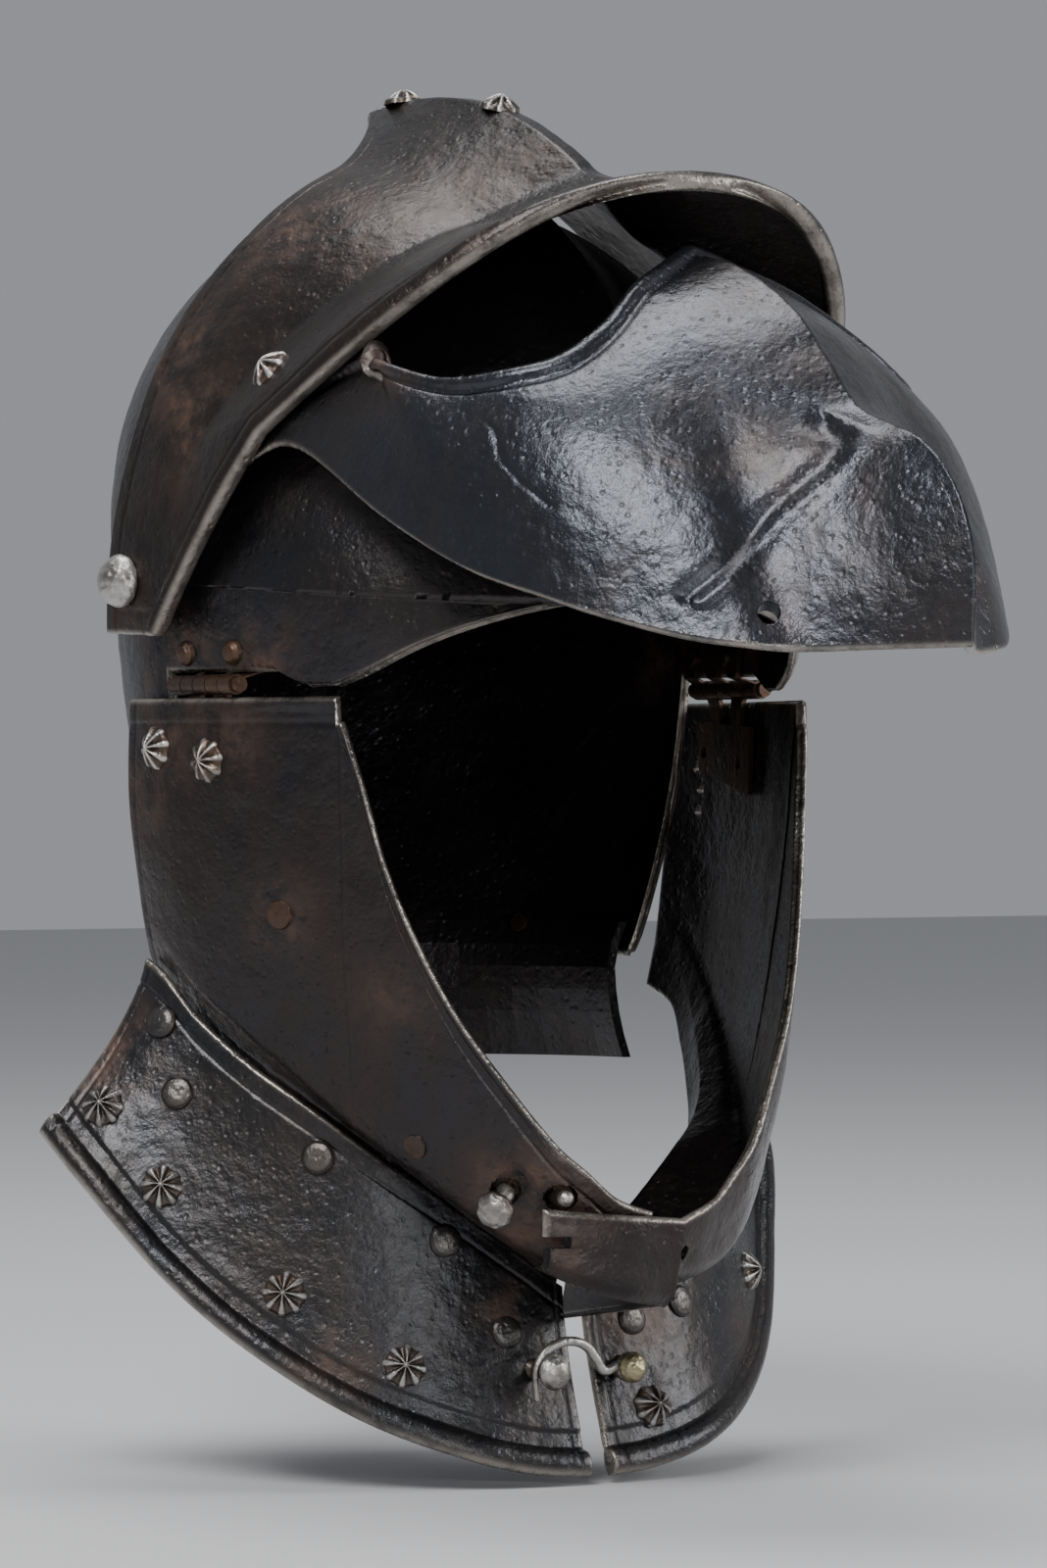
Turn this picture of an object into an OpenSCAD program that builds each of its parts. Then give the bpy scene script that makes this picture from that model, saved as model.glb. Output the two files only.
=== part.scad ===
// Siege helmet: a heavy iron close helmet with a peaked brow plate and a face visor on shared side
// pivots, two cheekpieces hinged at their top edges, a neck plate at the nape and a split gorget.
// The visor and the brow plate are modelled raised. The origin is the middle of the pivot axis.
// X runs to the wearer's left, the front faces -Y and Z is up. Lengths are in millimetres.

/* [Plates] */
// Thickness of the skull plate
skull_t = 3; // [2:0.1:4]
// Thickness of the brow plate
peak_t = 3.2; // [2:0.1:4]
// Thickness of the visor plate
visor_t = 3; // [2:0.1:4]
// Thickness of the cheekpieces
cheek_t = 3; // [2:0.1:4]
// Thickness of the gorget and nape plates
gorget_t = 2.6; // [2:0.1:3.5]
// Gap left between plates that slide over each other
slide_gap = 1.2; // [0.8:0.1:1.4]

/* [Skull] */
// Half width of the skull at the pivots
skull_w = 88; // [84:0.5:92]
// Height of the comb above the skull
skull_comb = 8; // [4:0.5:10]
// Height of the cut across the nape, below the pivots
nape_z = 102; // [95:1:106]
// Height of the cut along the hinges, below the pivots
hinge_cut_z = 24.5; // [23:0.5:25]

/* [Brow plate] */
// Height of the brow plate's comb
peak_comb = 14.5; // [10:0.5:18]
// How far the peak flares beyond the dome at its tip
peak_flare = 47; // [35:1:55]
// Angle of the front rim above the pivots, in degrees
peak_rim_a = 38.4; // [36:0.2:41]
// Width of the turned rim
rim_w = 6; // [4:0.5:8]

/* [Pivots] */
// Diameter of the pivot bolts
bolt_d = 7; // [6:0.5:9]
// Diameter of the bolt heads
bolt_head_d = 15; // [13:0.5:18]
// Radial clearance of a moving fit
fit = 0.08; // [0.03:0.01:0.1]

/* [Cheekpieces] */
// Height of the cheekpieces' top edge below the pivots
cheek_top_z = 31.5; // [31:0.5:34]
// How far the chin strap stands off the right cheekpiece at its end
strap_off = 6; // [4:0.5:7]
// How far the chin strap reaches past the middle, as an angle round the neck
strap_reach = 21; // [15:1:24]
// How far the cheekpieces run down inside the gorget
throat_lap = 12; // [8:1:15]

/* [Hinges] */
// Length of a hinge barrel
hinge_l = 30; // [24:1:34]
// Diameter of a hinge barrel
barrel_d = 5.4; // [5:0.1:6]
// Diameter of a hinge pin
hinge_pin_d = 2.6; // [2:0.1:3]

/* [Fastenings] */
// Diameter of the fluted rosette rivets
rosette_d = 12; // [9:0.5:14]
// Diameter of the plain rivet heads
rivet_d = 9; // [7:0.5:11]
// Diameter of the hook wire
wire_d = 2.6; // [2:0.1:3.5]
// Diameter of the locking stud
stud_d = 4.4; // [3.5:0.1:5]

/* [Hidden] */
$fn = 48;

iron = "dimgray";
brown_iron = [0.26, 0.23, 0.21];
bright = "silver";
rusty = [0.5, 0.3, 0.18];
brassy = [0.72, 0.62, 0.35];

// Smooth curve through hand-chosen stations [key, value], by Catmull and Rom's rule
function clamp(v, lo, hi) = max(lo, min(hi, v));
function span(s, k, i = 0) = i >= len(s) - 2 || k < s[i + 1][0] ? i : span(s, k, i + 1);
function slope(s, i) =
    i <= 0 ? (s[1][1] - s[0][1]) / (s[1][0] - s[0][0])
    : i >= len(s) - 1 ? (s[i][1] - s[i - 1][1]) / (s[i][0] - s[i - 1][0])
    : (s[i + 1][1] - s[i - 1][1]) / (s[i + 1][0] - s[i - 1][0]);
function curve(s, key) =
    let (k = clamp(key, s[0][0], s[len(s) - 1][0]), i = span(s, k), h = s[i + 1][0] - s[i][0],
         t = (k - s[i][0]) / h, u = 1 - t)
    s[i][1] * u * u * (1 + 2 * t) + s[i + 1][1] * t * t * (3 - 2 * t)
    + slope(s, i) * h * t * u * u - slope(s, i + 1) * h * t * t * u;
function ease(t) = let (c = clamp(t, 0, 1)) c * c * (3 - 2 * c);
function mix(a, b, t) = a + (b - a) * t;
// A point from its half width, its radius from the pivot axis and its angle above forward
function round_axis(x, r, a) = [x, -r * cos(a), r * sin(a)];
// A point from its angle round the neck, its distance from the neck's middle and its height
neck_f = 10;
function round_neck(psi, r, z) = [-r * sin(psi), -neck_f - r * cos(psi), z];

// A plate between two grids of points, outer and inner, with triangles all round
module plate(outer, inner) {
    nu = len(outer);
    nv = len(outer[0]);
    n = nu * nv;
    points = [for (g = [outer, inner]) for (row = g) for (p = row) p];
    function id(k, i, j) = k * n + i * nv + j;
    skins = [for (i = [0 : nu - 2]) for (j = [0 : nv - 2]) each [
        [id(0, i, j), id(0, i, j + 1), id(0, i + 1, j + 1)],
        [id(0, i, j), id(0, i + 1, j + 1), id(0, i + 1, j)],
        [id(1, i, j), id(1, i + 1, j + 1), id(1, i, j + 1)],
        [id(1, i, j), id(1, i + 1, j), id(1, i + 1, j + 1)]]];
    ends = [for (j = [0 : nv - 2]) each [
        [id(0, 0, j), id(1, 0, j), id(0, 0, j + 1)],
        [id(1, 0, j), id(1, 0, j + 1), id(0, 0, j + 1)],
        [id(0, nu - 1, j), id(0, nu - 1, j + 1), id(1, nu - 1, j)],
        [id(1, nu - 1, j), id(0, nu - 1, j + 1), id(1, nu - 1, j + 1)]]];
    sides = [for (i = [0 : nu - 2]) each [
        [id(0, i, 0), id(0, i + 1, 0), id(1, i, 0)],
        [id(1, i, 0), id(0, i + 1, 0), id(1, i + 1, 0)],
        [id(0, i, nv - 1), id(1, i, nv - 1), id(0, i + 1, nv - 1)],
        [id(1, i, nv - 1), id(1, i + 1, nv - 1), id(0, i + 1, nv - 1)]]];
    polyhedron(points, concat(skins, ends, sides));
}

function unit(v) = v / norm(v);
function flip_x(p, s) = [s * p[0], p[1], p[2]];

// Stands a part on a surface point with its own Z along the outward direction
module facing(p, n) {
    translate(p) rotate([0, acos(n[2]), atan2(n[1], n[0])]) children();
}

// Skull: radius of the bowl round the pivots, roundness of its section, and the reach of the edge
skull_base = [[-90, 160], [-56, 140], [-24, 130], [-12, 122], [-4, 116.5], [8, 112], [20, 109], [45, 107],
              [90, 108], [105, 110.5], [120, 113.5], [135, 114], [150, 111.5], [165, 106], [180, 101],
              [207, 103], [236, 120], [270, 160], [304, 140], [336, 130], [348, 122], [356, 116.5]];
skull_n = [[-90, 2], [-24, 2.05], [-4, 2.3], [20, 2.1], [90, 2], [130, 1.8], [180, 1.6], [236, 1.75],
           [270, 2], [336, 2.05], [356, 2.3]];
brow = [[336.5, 72.5], [342, 80.5], [347.7, 89.5], [352, 99], [356, 110]];
comb_w = 17;
skull_rings = 11;
crest = 36;
panel_f = 6;
brow_a = -4;
nape_a = 234.5;
lower_a = [234.5, 239, 243, 247, 251, 255, 259, 263, 266.5, 270, 273.4, 274.2, 275.6, 278, 283.8, 291, 299, 307, 315, 323,
           331, 334.5, 337, 342, 347.7, 352, 355.2, 356];
skull_turns = crest + len(lower_a) - 1;
function skull_turn(i) = i <= crest ? mix(brow_a, nape_a, i / crest) : lower_a[i - crest];
function skull_edge(a) =
    a < 273.5 ? nape_z / abs(sin(a))
    : a < 283.8 ? panel_f / cos(a)
    : a < 334 ? hinge_cut_z / abs(sin(a))
    : a < 336.5 ? (hinge_cut_z + 4) / abs(sin(a))
    : curve(brow, a);
function skull_point(i, j, inset) =
    let (a = skull_turn(i), on_crest = i <= crest, n = curve(skull_n, a),
         base = curve(skull_base, a) - inset, w = skull_w - inset,
         end = on_crest ? 90 : asin(pow(min(1, skull_edge(a) / base), n / 2)),
         q = end * (1 - pow(1 - j / skull_rings, 1.4)),
         x = j == skull_rings && on_crest ? 0 : w * pow(cos(q), 2 / n),
         rise = ease((a + 30) / 60) * ease((262 - a) / 60), back = ease((a - 95) / 25) * ease((185 - a) / 40),
         comb = skull_comb * (1 + 0.6 * back) * pow(max(0, 1 - x / (comb_w + 6 * back)), 1.3)
             * (on_crest ? rise : 0))
    round_axis(x, base * pow(sin(q), 2 / n) + comb, a);
// Half width of the skull at a point in side view
function skull_x(y, z, inset) =
    let (b = atan2(z, -y), a = b < -4 ? b + 360 : b, n = curve(skull_n, a),
         q = asin(pow(min(1, norm([y, z]) / (curve(skull_base, a) - inset)), n / 2)))
    (skull_w - inset) * pow(cos(q), 2 / n);

module skull_shell() {
    m = skull_rings;
    n = skull_turns;
    half = 1 + n * m;
    function pid(k, s, i, j) =
        let (w = i % n) j == 0 ? k * 2 * half + s * half
        : (j == m && w <= crest) ? k * 2 * half + 1 + w * m + j - 1
        : k * 2 * half + s * half + 1 + w * m + j - 1;
    points = [for (k = [0, 1]) for (s = [0, 1]) each concat(
        [flip_x([skull_w - k * skull_t, 0, 0], 2 * s - 1)],
        [for (i = [0 : n - 1]) for (j = [1 : m]) flip_x(skull_point(i, j, k * skull_t), 2 * s - 1)])];
    function tri(a, b, c, flip) = flip ? [a, c, b] : [a, b, c];
    skins = [for (k = [0, 1]) for (s = [0, 1]) for (i = [0 : n - 1]) for (j = [0 : m - 1])
        let (flip = (k + s) % 2 == 0,
             a = pid(k, s, i, j), b = pid(k, s, i, j + 1), c = pid(k, s, i + 1, j + 1),
             d = pid(k, s, i + 1, j))
        each (j == 0 ? [tri(a, b, c, flip)] : [tri(a, b, c, flip), tri(a, c, d, flip)])];
    walls = [for (s = [0, 1]) for (i = [crest : n - 1])
        let (flip = s == 0, a = pid(0, s, i, m), b = pid(0, s, i + 1, m), c = pid(1, s, i, m),
             d = pid(1, s, i + 1, m))
        each [tri(a, c, b, flip), tri(b, c, d, flip)]];
    polyhedron(points, concat(skins, walls));
}

// A round tool along X through both sides
module across(d, half = 120) {
    rotate([0, 90, 0]) cylinder(h = 2 * half, d = d, center = true);
}

// Rivets that hold the skull's hinge leaves and the nape plate: point and direction
hinge_y = -25;
hinge_x = skull_w - 1.5;
hinge_z = -28;
function on_skull(y, z, s, lift = 0) =
    let (x = skull_x(y, z, 0), n = unit([1, (skull_x(y, z, 0) - skull_x(y + 1, z, 0)),
                                        (skull_x(y, z, 0) - skull_x(y, z + 1, 0))]))
    [flip_x([x, y, z] + n * lift, s), flip_x(n, s)];
leaf_rivets = [for (y = [-34.5, -15.5]) [y, -19.5]];
module shank_holes(at, d) {
    for (p = at) facing(p[0], p[1]) cylinder(h = 16, d = d, center = true);
}

// Nape plate: lies inside the skull's rear lower edge and turns outward at its own lower edge
nape_lap = 9;
nape_deep = 29;
nape_cy = 5;
function skull_reach(b, z, inset, lo = 20, hi = 130, n = 16) =
    n == 0 ? lo : let (k = (lo + hi) / 2)
    k * abs(sin(b)) >= skull_x(nape_cy + k * cos(b), z, inset)
        ? skull_reach(b, z, inset, lo, k, n - 1) : skull_reach(b, z, inset, k, hi, n - 1);
function nape_point(b, v, inset) =
    let (z = -(nape_z - nape_lap) - v * (nape_deep + nape_lap),
         k = skull_reach(b, max(z, -nape_z), skull_t + 1.6) + 5 * pow(max(0, v - 0.3) / 0.7, 2) - inset)
    [k * sin(b), nape_cy + k * cos(b), z];
nape_rivet_b = [-66, -24, 24, 66];
function on_nape(b) = let (z = -nape_z + 5, k = skull_reach(b, z, 0))
    [[(k + 0.5) * sin(b), nape_cy + (k + 0.5) * cos(b), z], unit([sin(b), cos(b), -0.45])];
module nape_plate() {
    turns = 24;
    color(iron) difference() {
        plate([for (i = [0 : turns]) [for (j = [0 : 6]) nape_point(mix(-97, 97, i / turns), j / 6, 0)]],
              [for (i = [0 : turns]) [for (j = [0 : 6]) nape_point(mix(-97, 97, i / turns), j / 6, gorget_t)]]);
        shank_holes([for (b = nape_rivet_b) on_nape(b)], 3.1);
    }
}
module nape_rivets() {
    color(rusty) for (b = nape_rivet_b) rivet(on_nape(b), rivet_d - 1.5, skull_t + gorget_t + 2);
}

module skull() {
    color(brown_iron) difference() {
        skull_shell();
        across(bolt_d + 2 * fit);
        for (s = [-1, 1]) shank_holes([for (r = leaf_rivets) on_skull(r[0], r[1], s)], 3.1);
        shank_holes([for (b = nape_rivet_b) on_nape(b)], 3.1);
    }
}

// Pivot bolts with domed heads outside and square nuts inside
peak_w = skull_w + 2 * slide_gap + visor_t + peak_t;
module pivot_bolt(s) {
    color(bright) mirror([s < 0 ? 1 : 0, 0, 0]) rotate([0, 90, 0]) {
        translate([0, 0, skull_w - 12]) cylinder(h = peak_w + 0.2 - skull_w + 12.2, d = bolt_d);
        translate([0, 0, peak_w + 0.2]) rotate_extrude()
            polygon([[0, 0], [bolt_head_d / 2 - 0.5, 0], [bolt_head_d / 2, 1.4], [bolt_head_d / 2 - 0.8, 3.6],
                     [bolt_head_d / 2 - 2.6, 5.8], [bolt_head_d / 2 - 5, 7.1], [0, 7.6]]);
    }
}
module pivot_nut(s) {
    color(rusty) mirror([s < 0 ? 1 : 0, 0, 0]) translate([skull_w - skull_t - 5.9, 0, 0]) difference() {
        translate([0, -7, -7]) cube([4.6, 14, 14]);
        across(bolt_d + 0.1, 20);
    }
}

// Hinges between the skull and the cheekpieces: three knuckles above, two below, one pin
knuckle = hinge_l / 5;
module knuckles(from) {
    for (k = [from : 2 : 4])
        translate([0, hinge_y - hinge_l / 2 + k * knuckle + 0.2, 0]) rotate([-90, 0, 0])
            cylinder(h = knuckle - 0.4, d = barrel_d);
}
leaf_t = 1.6;
// A thin leaf between a row of points on the barrel and rows on a plate
module leaf(rows) {
    plate([for (r = rows) r[1]], [for (r = rows) r[0]]);
}
function leaf_y(j, k) = hinge_y - hinge_l / 2 + k * knuckle + 0.2 + (knuckle - 0.4) * j / 2;
module leaf_skull_tab(k) {
    up = [-26.6, -24.6, -20, -14, -8];
    leaf([for (z = up) let (at_barrel = z < -25)
        [[for (j = [0 : 2]) let (y = leaf_y(j, k)) [at_barrel ? hinge_x + 0.6 : skull_x(y, z, skull_t + 0.35), y, z]],
         [for (j = [0 : 2]) let (y = leaf_y(j, k)) [at_barrel ? hinge_x - 1.6 : skull_x(y, z, skull_t + 0.35) - leaf_t, y, z]]]]);
}
module hinge_leaf_skull(s) {
    color(rusty) mirror([s < 0 ? 1 : 0, 0, 0]) difference() {
        union() {
            translate([hinge_x, 0, hinge_z]) knuckles(0);
            for (k = [0, 2, 4]) leaf_skull_tab(k);
            leaf([for (z = [-19, -13.5, -8])
                [[for (j = [0 : 6]) let (y = hinge_y - hinge_l / 2 + 0.2 + j * (hinge_l - 0.4) / 6)
                    [skull_x(y, z, skull_t + 0.35), y, z]],
                 [for (j = [0 : 6]) let (y = hinge_y - hinge_l / 2 + 0.2 + j * (hinge_l - 0.4) / 6)
                    [skull_x(y, z, skull_t + 0.35) - leaf_t, y, z]]]]);
        }
        translate([hinge_x, hinge_y, hinge_z]) rotate([90, 0, 0])
            cylinder(h = 60, d = hinge_pin_d + 2 * fit, center = true);
        shank_holes([for (r = leaf_rivets) on_skull(r[0], r[1], 1)], 3.1);
    }
}
module hinge_pin(s) {
    color(rusty) mirror([s < 0 ? 1 : 0, 0, 0]) translate([hinge_x, hinge_y, hinge_z]) rotate([90, 0, 0]) {
        cylinder(h = hinge_l + 1.2, d = hinge_pin_d, center = true);
        for (m = [0, 1]) mirror([0, 0, m]) translate([0, 0, hinge_l / 2 + 0.3]) cylinder(h = 1.4, d = hinge_pin_d + 1.6);
    }
}

// Rivets: a domed head outside, a shank and a small hammered end inside
module rivet(p, d, grip) {
    facing(p[0], p[1]) {
        translate([0, 0, 0.12]) rotate_extrude()
            polygon([[0, 0], [d / 2, 0], [d / 2 - 0.3, 1], [d / 2 - 1.4, 2], [0, 2.6]]);
        translate([0, 0, -grip - 0.4]) cylinder(h = grip + 1, d = 3);
        translate([0, 0, -grip - 1.5]) cylinder(h = 1.2, d = 5);
    }
}
module rosette(p, grip) {
    facing(p[0], p[1]) {
        difference() {
            translate([0, 0, 0.4]) rotate_extrude()
                polygon([[0, 0], [rosette_d / 2, 0], [rosette_d / 2, 0.7], [rosette_d / 2 - 2, 2],
                         [1.6, 3.3], [0, 3.5]]);
            for (k = [0 : 7]) rotate([0, 0, 22.5 + 45 * k]) translate([1.4, 0, 3.9]) rotate([0, 104, 0])
                cylinder(h = rosette_d, d = 2.2);
        }
        translate([0, 0, -grip - 0.4]) cylinder(h = grip + 1, d = 3);
        translate([0, 0, -grip - 1.5]) cylinder(h = 1.2, d = 5);
    }
}
module hinge_rivets_skull() {
    color(rusty) for (s = [-1, 1]) for (r = leaf_rivets) rivet(on_skull(r[0], r[1], s), rivet_d - 2, skull_t + leaf_t + 0.8);
}

// Brow plate: a dome with a comb, flaring into the peak at the front rim
peak_room = 8.8;
peak_dome = curve(skull_base, 90) + peak_room + peak_t;
flare_a = 56;
ear_rows = 4;
peak_rows = 15;
peak_cols = 16;
peak_first = 22;
function peak_front(q) = peak_rim_a - 5.5 * pow(cos(q), 2);
function peak_rear(q) = 88.5 + 16 * pow(max(0, 1 - q / 52), 1.2) + 13.5 * pow(max(0, (q - 66) / 24), 2);
function peak_round(q, a, inset, out) =
    let (s = clamp((flare_a - a) / (flare_a - peak_rim_a), 0, 1.25),
         base = peak_dome + peak_flare * pow(min(1, s), 1.5) - inset + out,
         n = 2 + 0.15 * ease(s), w = peak_w - inset + out * 0.6,
         x = q >= 89.99 ? 0 : w * pow(cos(q), 2 / n),
         comb = peak_comb * (1 - min(1, s)) * pow(max(0, 1 - max(0, x - 2.5) / 28), 1.6))
    round_axis(x, base * pow(sin(q), 2 / n) + comb, a);
function peak_ear(u, v, inset) =
    let (a = mix(peak_front(peak_first), peak_rear(peak_first), v), p = peak_round(peak_first, a, inset, 0),
         foot = [mix(-15, 12, v), mix(-15, -14, v)], y = mix(foot[0], p[1], u), z = mix(foot[1], p[2], u),
         r = norm([y, z]), rp = norm([p[1], p[2]]), w = peak_w - inset,
         fall = (1 - p[0] / w) / pow(rp, 2))
    [w * (1 - fall * r * r), y, z];
// The first columns are the turned rim, rim_w wide; the others share the rest of the plate
peak_len = 124;
function peak_v(j) = let (r = rim_w / peak_len)
    j <= 2 ? r * [0.12, 0.6, 1.15][j] - r * 0.12 : mix(r * 1.03, 1, (j - 2) / (peak_cols - 2));
function peak_half(i, j, inset) =
    let (v = peak_v(j), turned = [0.8, 1, 0][min(j, 2)],
         swell = inset > 0 ? inset + 1.1 * turned : 0, out = inset > 0 ? 0 : 1.1 * turned)
    i < ear_rows ? peak_ear(i / ear_rows, v, inset)
    : let (q = mix(peak_first, 90, (i - ear_rows) / peak_rows))
      peak_round(q, mix(peak_front(q), peak_rear(q), v), swell, out);
function peak_point(i, j, inset) =
    let (m = ear_rows + peak_rows, p = peak_half(i <= m ? i : 2 * m - i, j, inset))
    i <= m ? [-p[0], p[1], p[2]] : p;
// Rosettes: on both flanks and on the crest
flank_q = 38;
function on_peak(q, a, s) =
    let (p = peak_round(q, a, 0, 0), n = unit(cross(peak_round(q, a + 1, 0, 0) - p, peak_round(q + 1, a, 0, 0) - p)))
    [flip_x(p, s), flip_x(n, s)];
peak_studs = [on_peak(33, 49, 1), on_peak(33, 49, -1), [peak_round(90, 94, 0, 0), round_axis(0, 1, 94)],
              [peak_round(90, 74, 0, 0), round_axis(0, 1, 74)]];
module peak() {
    last = 2 * (ear_rows + peak_rows);
    color(brown_iron) difference() {
        plate([for (i = [0 : last]) [for (j = [0 : peak_cols]) peak_point(i, j, 0)]],
              [for (i = [0 : last]) [for (j = [0 : peak_cols]) peak_point(i, j, peak_t)]]);
        across(bolt_d + 2 * fit);
        shank_holes(peak_studs, 3.1);
    }
}
module peak_rosettes() {
    color(bright) for (p = peak_studs) rosette(p, peak_t + 2);
}

// Visor: the top and lower edge of one side, from the keel back to the pivot ear: [x, forward, up]
visor_top = [[0, 121, 85], [12, 127, 79.6], [24, 132.5, 73], [38, 138.5, 62.6], [52, 138, 53.6],
             [64, 129, 49.6], [72, 112, 48.4], [77.5, 92.5, 54], [72.6, 82, 58.5], [76, 64, 52.5],
             [83, 44, 44], [86.6, 23, 34], [91, 6, 17], [91.9, -7, 11], [92, -11, 2]];
visor_low = [[0, 242, -20.5], [10, 228, -21], [27, 211, -21], [41, 203, -20], [52, 192, -18],
             [64, 176, -13], [72, 161, -8], [80, 136, 0], [85, 106, 14], [86, 68, 33],
             [87, 48, 31.5], [88.8, 30, 19], [91, 17, 0], [91.8, 3, -12], [92, -8, -8]];
ear_t = 2.4;
// How far the plate swells beyond a straight line from top to lower edge, and how far forward
keel = [[0, [121, 85]], [0.16, [146, 79]], [0.3, [168, 67.5]], [0.42, [182, 54]], [0.52, [194, 42]],
        [0.62, [208, 36.5]], [0.72, [222, 31.5]], [0.82, [235, 20]], [0.91, [242, 3]], [1, [242, -20.5]]];
visor_rows = 9;
visor_swell = [[0, 26], [2, 14], [4, 10], [6, 8], [8, 5], [10, 1], [14, 0]];
function visor_keel(v) = let (i = span(keel, v), t = (v - keel[i][0]) / (keel[i + 1][0] - keel[i][0]),
    p = keel[i][1] + (keel[i + 1][1] - keel[i][1]) * t) [0, p[0], p[1]];
function visor_mid(i, v) =
    let (t = visor_top[i], l = visor_low[i], e = visor_swell, b = curve(e, i) * sin(180 * pow(v, 0.8)),
         d = unit([l[0] - t[0], l[1] - t[1], l[2] - t[2]]), o = unit([0.35, 0.45, 0.8]))
    t + (l - t) * v + o * b;
function visor_skin(i, v) = i == 0 ? visor_keel(v)
    : i == 1 ? (visor_keel(v) * 0.48 + visor_mid(2, v) * 0.52) * 0.85 + visor_mid(1, v) * 0.15
    : visor_mid(i, v);
visor_wide = (skull_w + slide_gap + ear_t + 0.4) / 92;
function visor_out(i, j) = let (p = visor_skin(i, j / visor_rows)) [-p[0] * visor_wide, -p[1], p[2]];
stations = len(visor_top) - 1;
function visor_at(i, j) = let (k = i - stations, p = visor_out(abs(k), j)) k < 0 ? p : flip_x(p, -1);
function visor_normal(i, j) =
    let (a = visor_at(min(i + 1, 2 * stations), j) - visor_at(max(i - 1, 0), j),
         b = visor_at(i, min(j + 1, visor_rows)) - visor_at(i, max(j - 1, 0))) unit(cross(b, a));
// Hole for the locking stud near the lower edge, bored so that it lines up when the visor is shut
shut_a = 49;
stud_lean = -14;
latch = [-31.5 * visor_wide, -197, -18];
module visor() {
    outer = [for (i = [0 : 2 * stations]) [for (j = [0 : visor_rows]) visor_at(i, j)]];
    inner = [for (i = [0 : 2 * stations]) [for (j = [0 : visor_rows])
        let (k = abs(i - stations), ear = k >= 11, n = visor_normal(i, j))
        ear ? visor_at(i, j) - [sign(i - stations) * ear_t, 0, 0]
        : visor_at(i, j) - n * visor_t * (k == 0 ? 1.25 : 1)]];
    color(iron) difference() {
        plate(inner, outer);
        across(bolt_d + 2 * fit);
        translate(latch) rotate([90 - shut_a, 0, 0]) rotate([0, stud_lean, 0])
            cylinder(h = 30, d = stud_d + 1.4, center = true);
    }
}

// Cheekpieces: top edge, bowl under the chin and throat seam, against the angle round the neck.
// Their distances from the neck's middle go with the skull's width
spread = skull_w / 88;
ck_top_z = [[0, -168], [8, -163], [13.2, -156], [18.3, -148], [25.3, -132], [32.6, -114], [38.4, -95],
            [43.4, -74], [46.6, -54], [49.6, -38]];
ck_top_r = [[0, 108.5], [8, 107], [18, 105], [25, 103], [33, 102], [43, 100.5], [50, 100], [60, 95.4],
            [70, 92.8], [80, 91.6], [90, 92], [101, 92.6]];
ck_bowl_r = [[0, 97], [10, 97], [20, 95], [30, 91], [40, 87], [50, 85], [60, 84], [75, 85], [85, 87], [101, 89.5]];
ck_bowl_z = [[0, -187], [10, -184], [20, -177], [30, -166], [40, -154], [50, -142], [60, -131], [75, -115],
             [85, -103], [101, -84]];
ck_seam_r = [[0, 58], [10, 59], [20, 60.5], [30, 63], [40, 66], [50, 69.5], [60, 73], [75, 77.5], [85, 82],
             [92, 85.5], [101, 87]];
ck_seam_z = [[0, -187], [10, -181], [20, -174], [30, -166], [40, -158], [50, -150], [60, -141], [75, -127.5],
             [85, -116], [92, -105], [101, -99]];
strap = [[-24, 3.5], [-21, 3.2], [-10, 2.4], [-3, 1.5], [4, 0.8], [12, 0], [101, 0]];
function ck_top(psi) = psi < 0 ? mix(-168, -164.5, -psi / 21)
    : psi >= 50.4 ? -cheek_top_z : curve(ck_top_z, psi);
// One point of the cheek surface: row 0 at the top edge, 1 at the throat seam, then the lap below
function cheek_at(psi, u, lift, inset) =
    let (a = abs(psi), tz = ck_top(psi), tr = curve(ck_top_r, a) * spread,
         br = curve(ck_bowl_r, a) * spread + (psi < 0 ? 3 + 2.5 * ease(-psi / 9) : 0),
         bz = min(curve(ck_bowl_z, a), tz - 4) - (psi < 0 ? 4.5 : 0), sr = curve(ck_seam_r, a) * spread,
         sz = curve(ck_seam_z, a), mr = mix(tr, br, 0.42) + 1.5, mz = mix(tz, bz, 0.5),
         shown = psi < 0 ? u * 0.6 : u, k = min(shown, 1), rr = curve([[0, tr], [0.34, mr], [0.68, br], [0.85, mix(br, sr, 0.45)], [1, sr]], k),
         zz = curve([[0, tz], [0.34, mz], [0.68, bz], [0.85, mix(bz, sz, 0.5) - 2.4 * ease((60 - a) / 40)], [1, sz]], k),
         over = max(0, shown - 1), in_z = 1 - ease((a - 40) / 20))
    round_neck(psi, rr + lift * (psi < 0 ? 1 : 1 - ease((k - 0.45) / 0.4)) - inset - over * 22, zz - over * throat_lap / 0.16
        + (shown > 1 ? 0 : inset * 0.9 * in_z * ease((k - 0.5) / 0.3)));
cheek_us = [0, 0.12, 0.24, 0.36, 0.48, 0.58, 0.68, 0.78, 0.89, 1, 1.16];
right_psi = [2.2, 8, 13.2, 18.3, 25.3, 32.6, 38.4, 43.4, 46.6, 49.6, 50.6, 56, 63, 70, 77, 85, 93, 101];
left_psi = concat([for (k = [4 : -1 : 0]) mix(-1, -strap_reach, k / 4)], right_psi);
strap_end_x = -113 * spread * sin(strap_reach);
tuck_in = 4;
module cheek_shell(psis, lifted) {
    // The left plate rises into the strap; the right one's front end is set in under it
    function lift(a) = lifted ? (1.25 + 0.22 * strap_off) * curve(strap, a) : -tuck_in * ease((14 - a) / 9);
    plate([for (a = psis) [for (u = cheek_us) cheek_at(a, u, lift(a), 0)]],
          [for (a = psis) [for (u = cheek_us) cheek_at(a, u, lift(a), cheek_t)]]);
}
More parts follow.
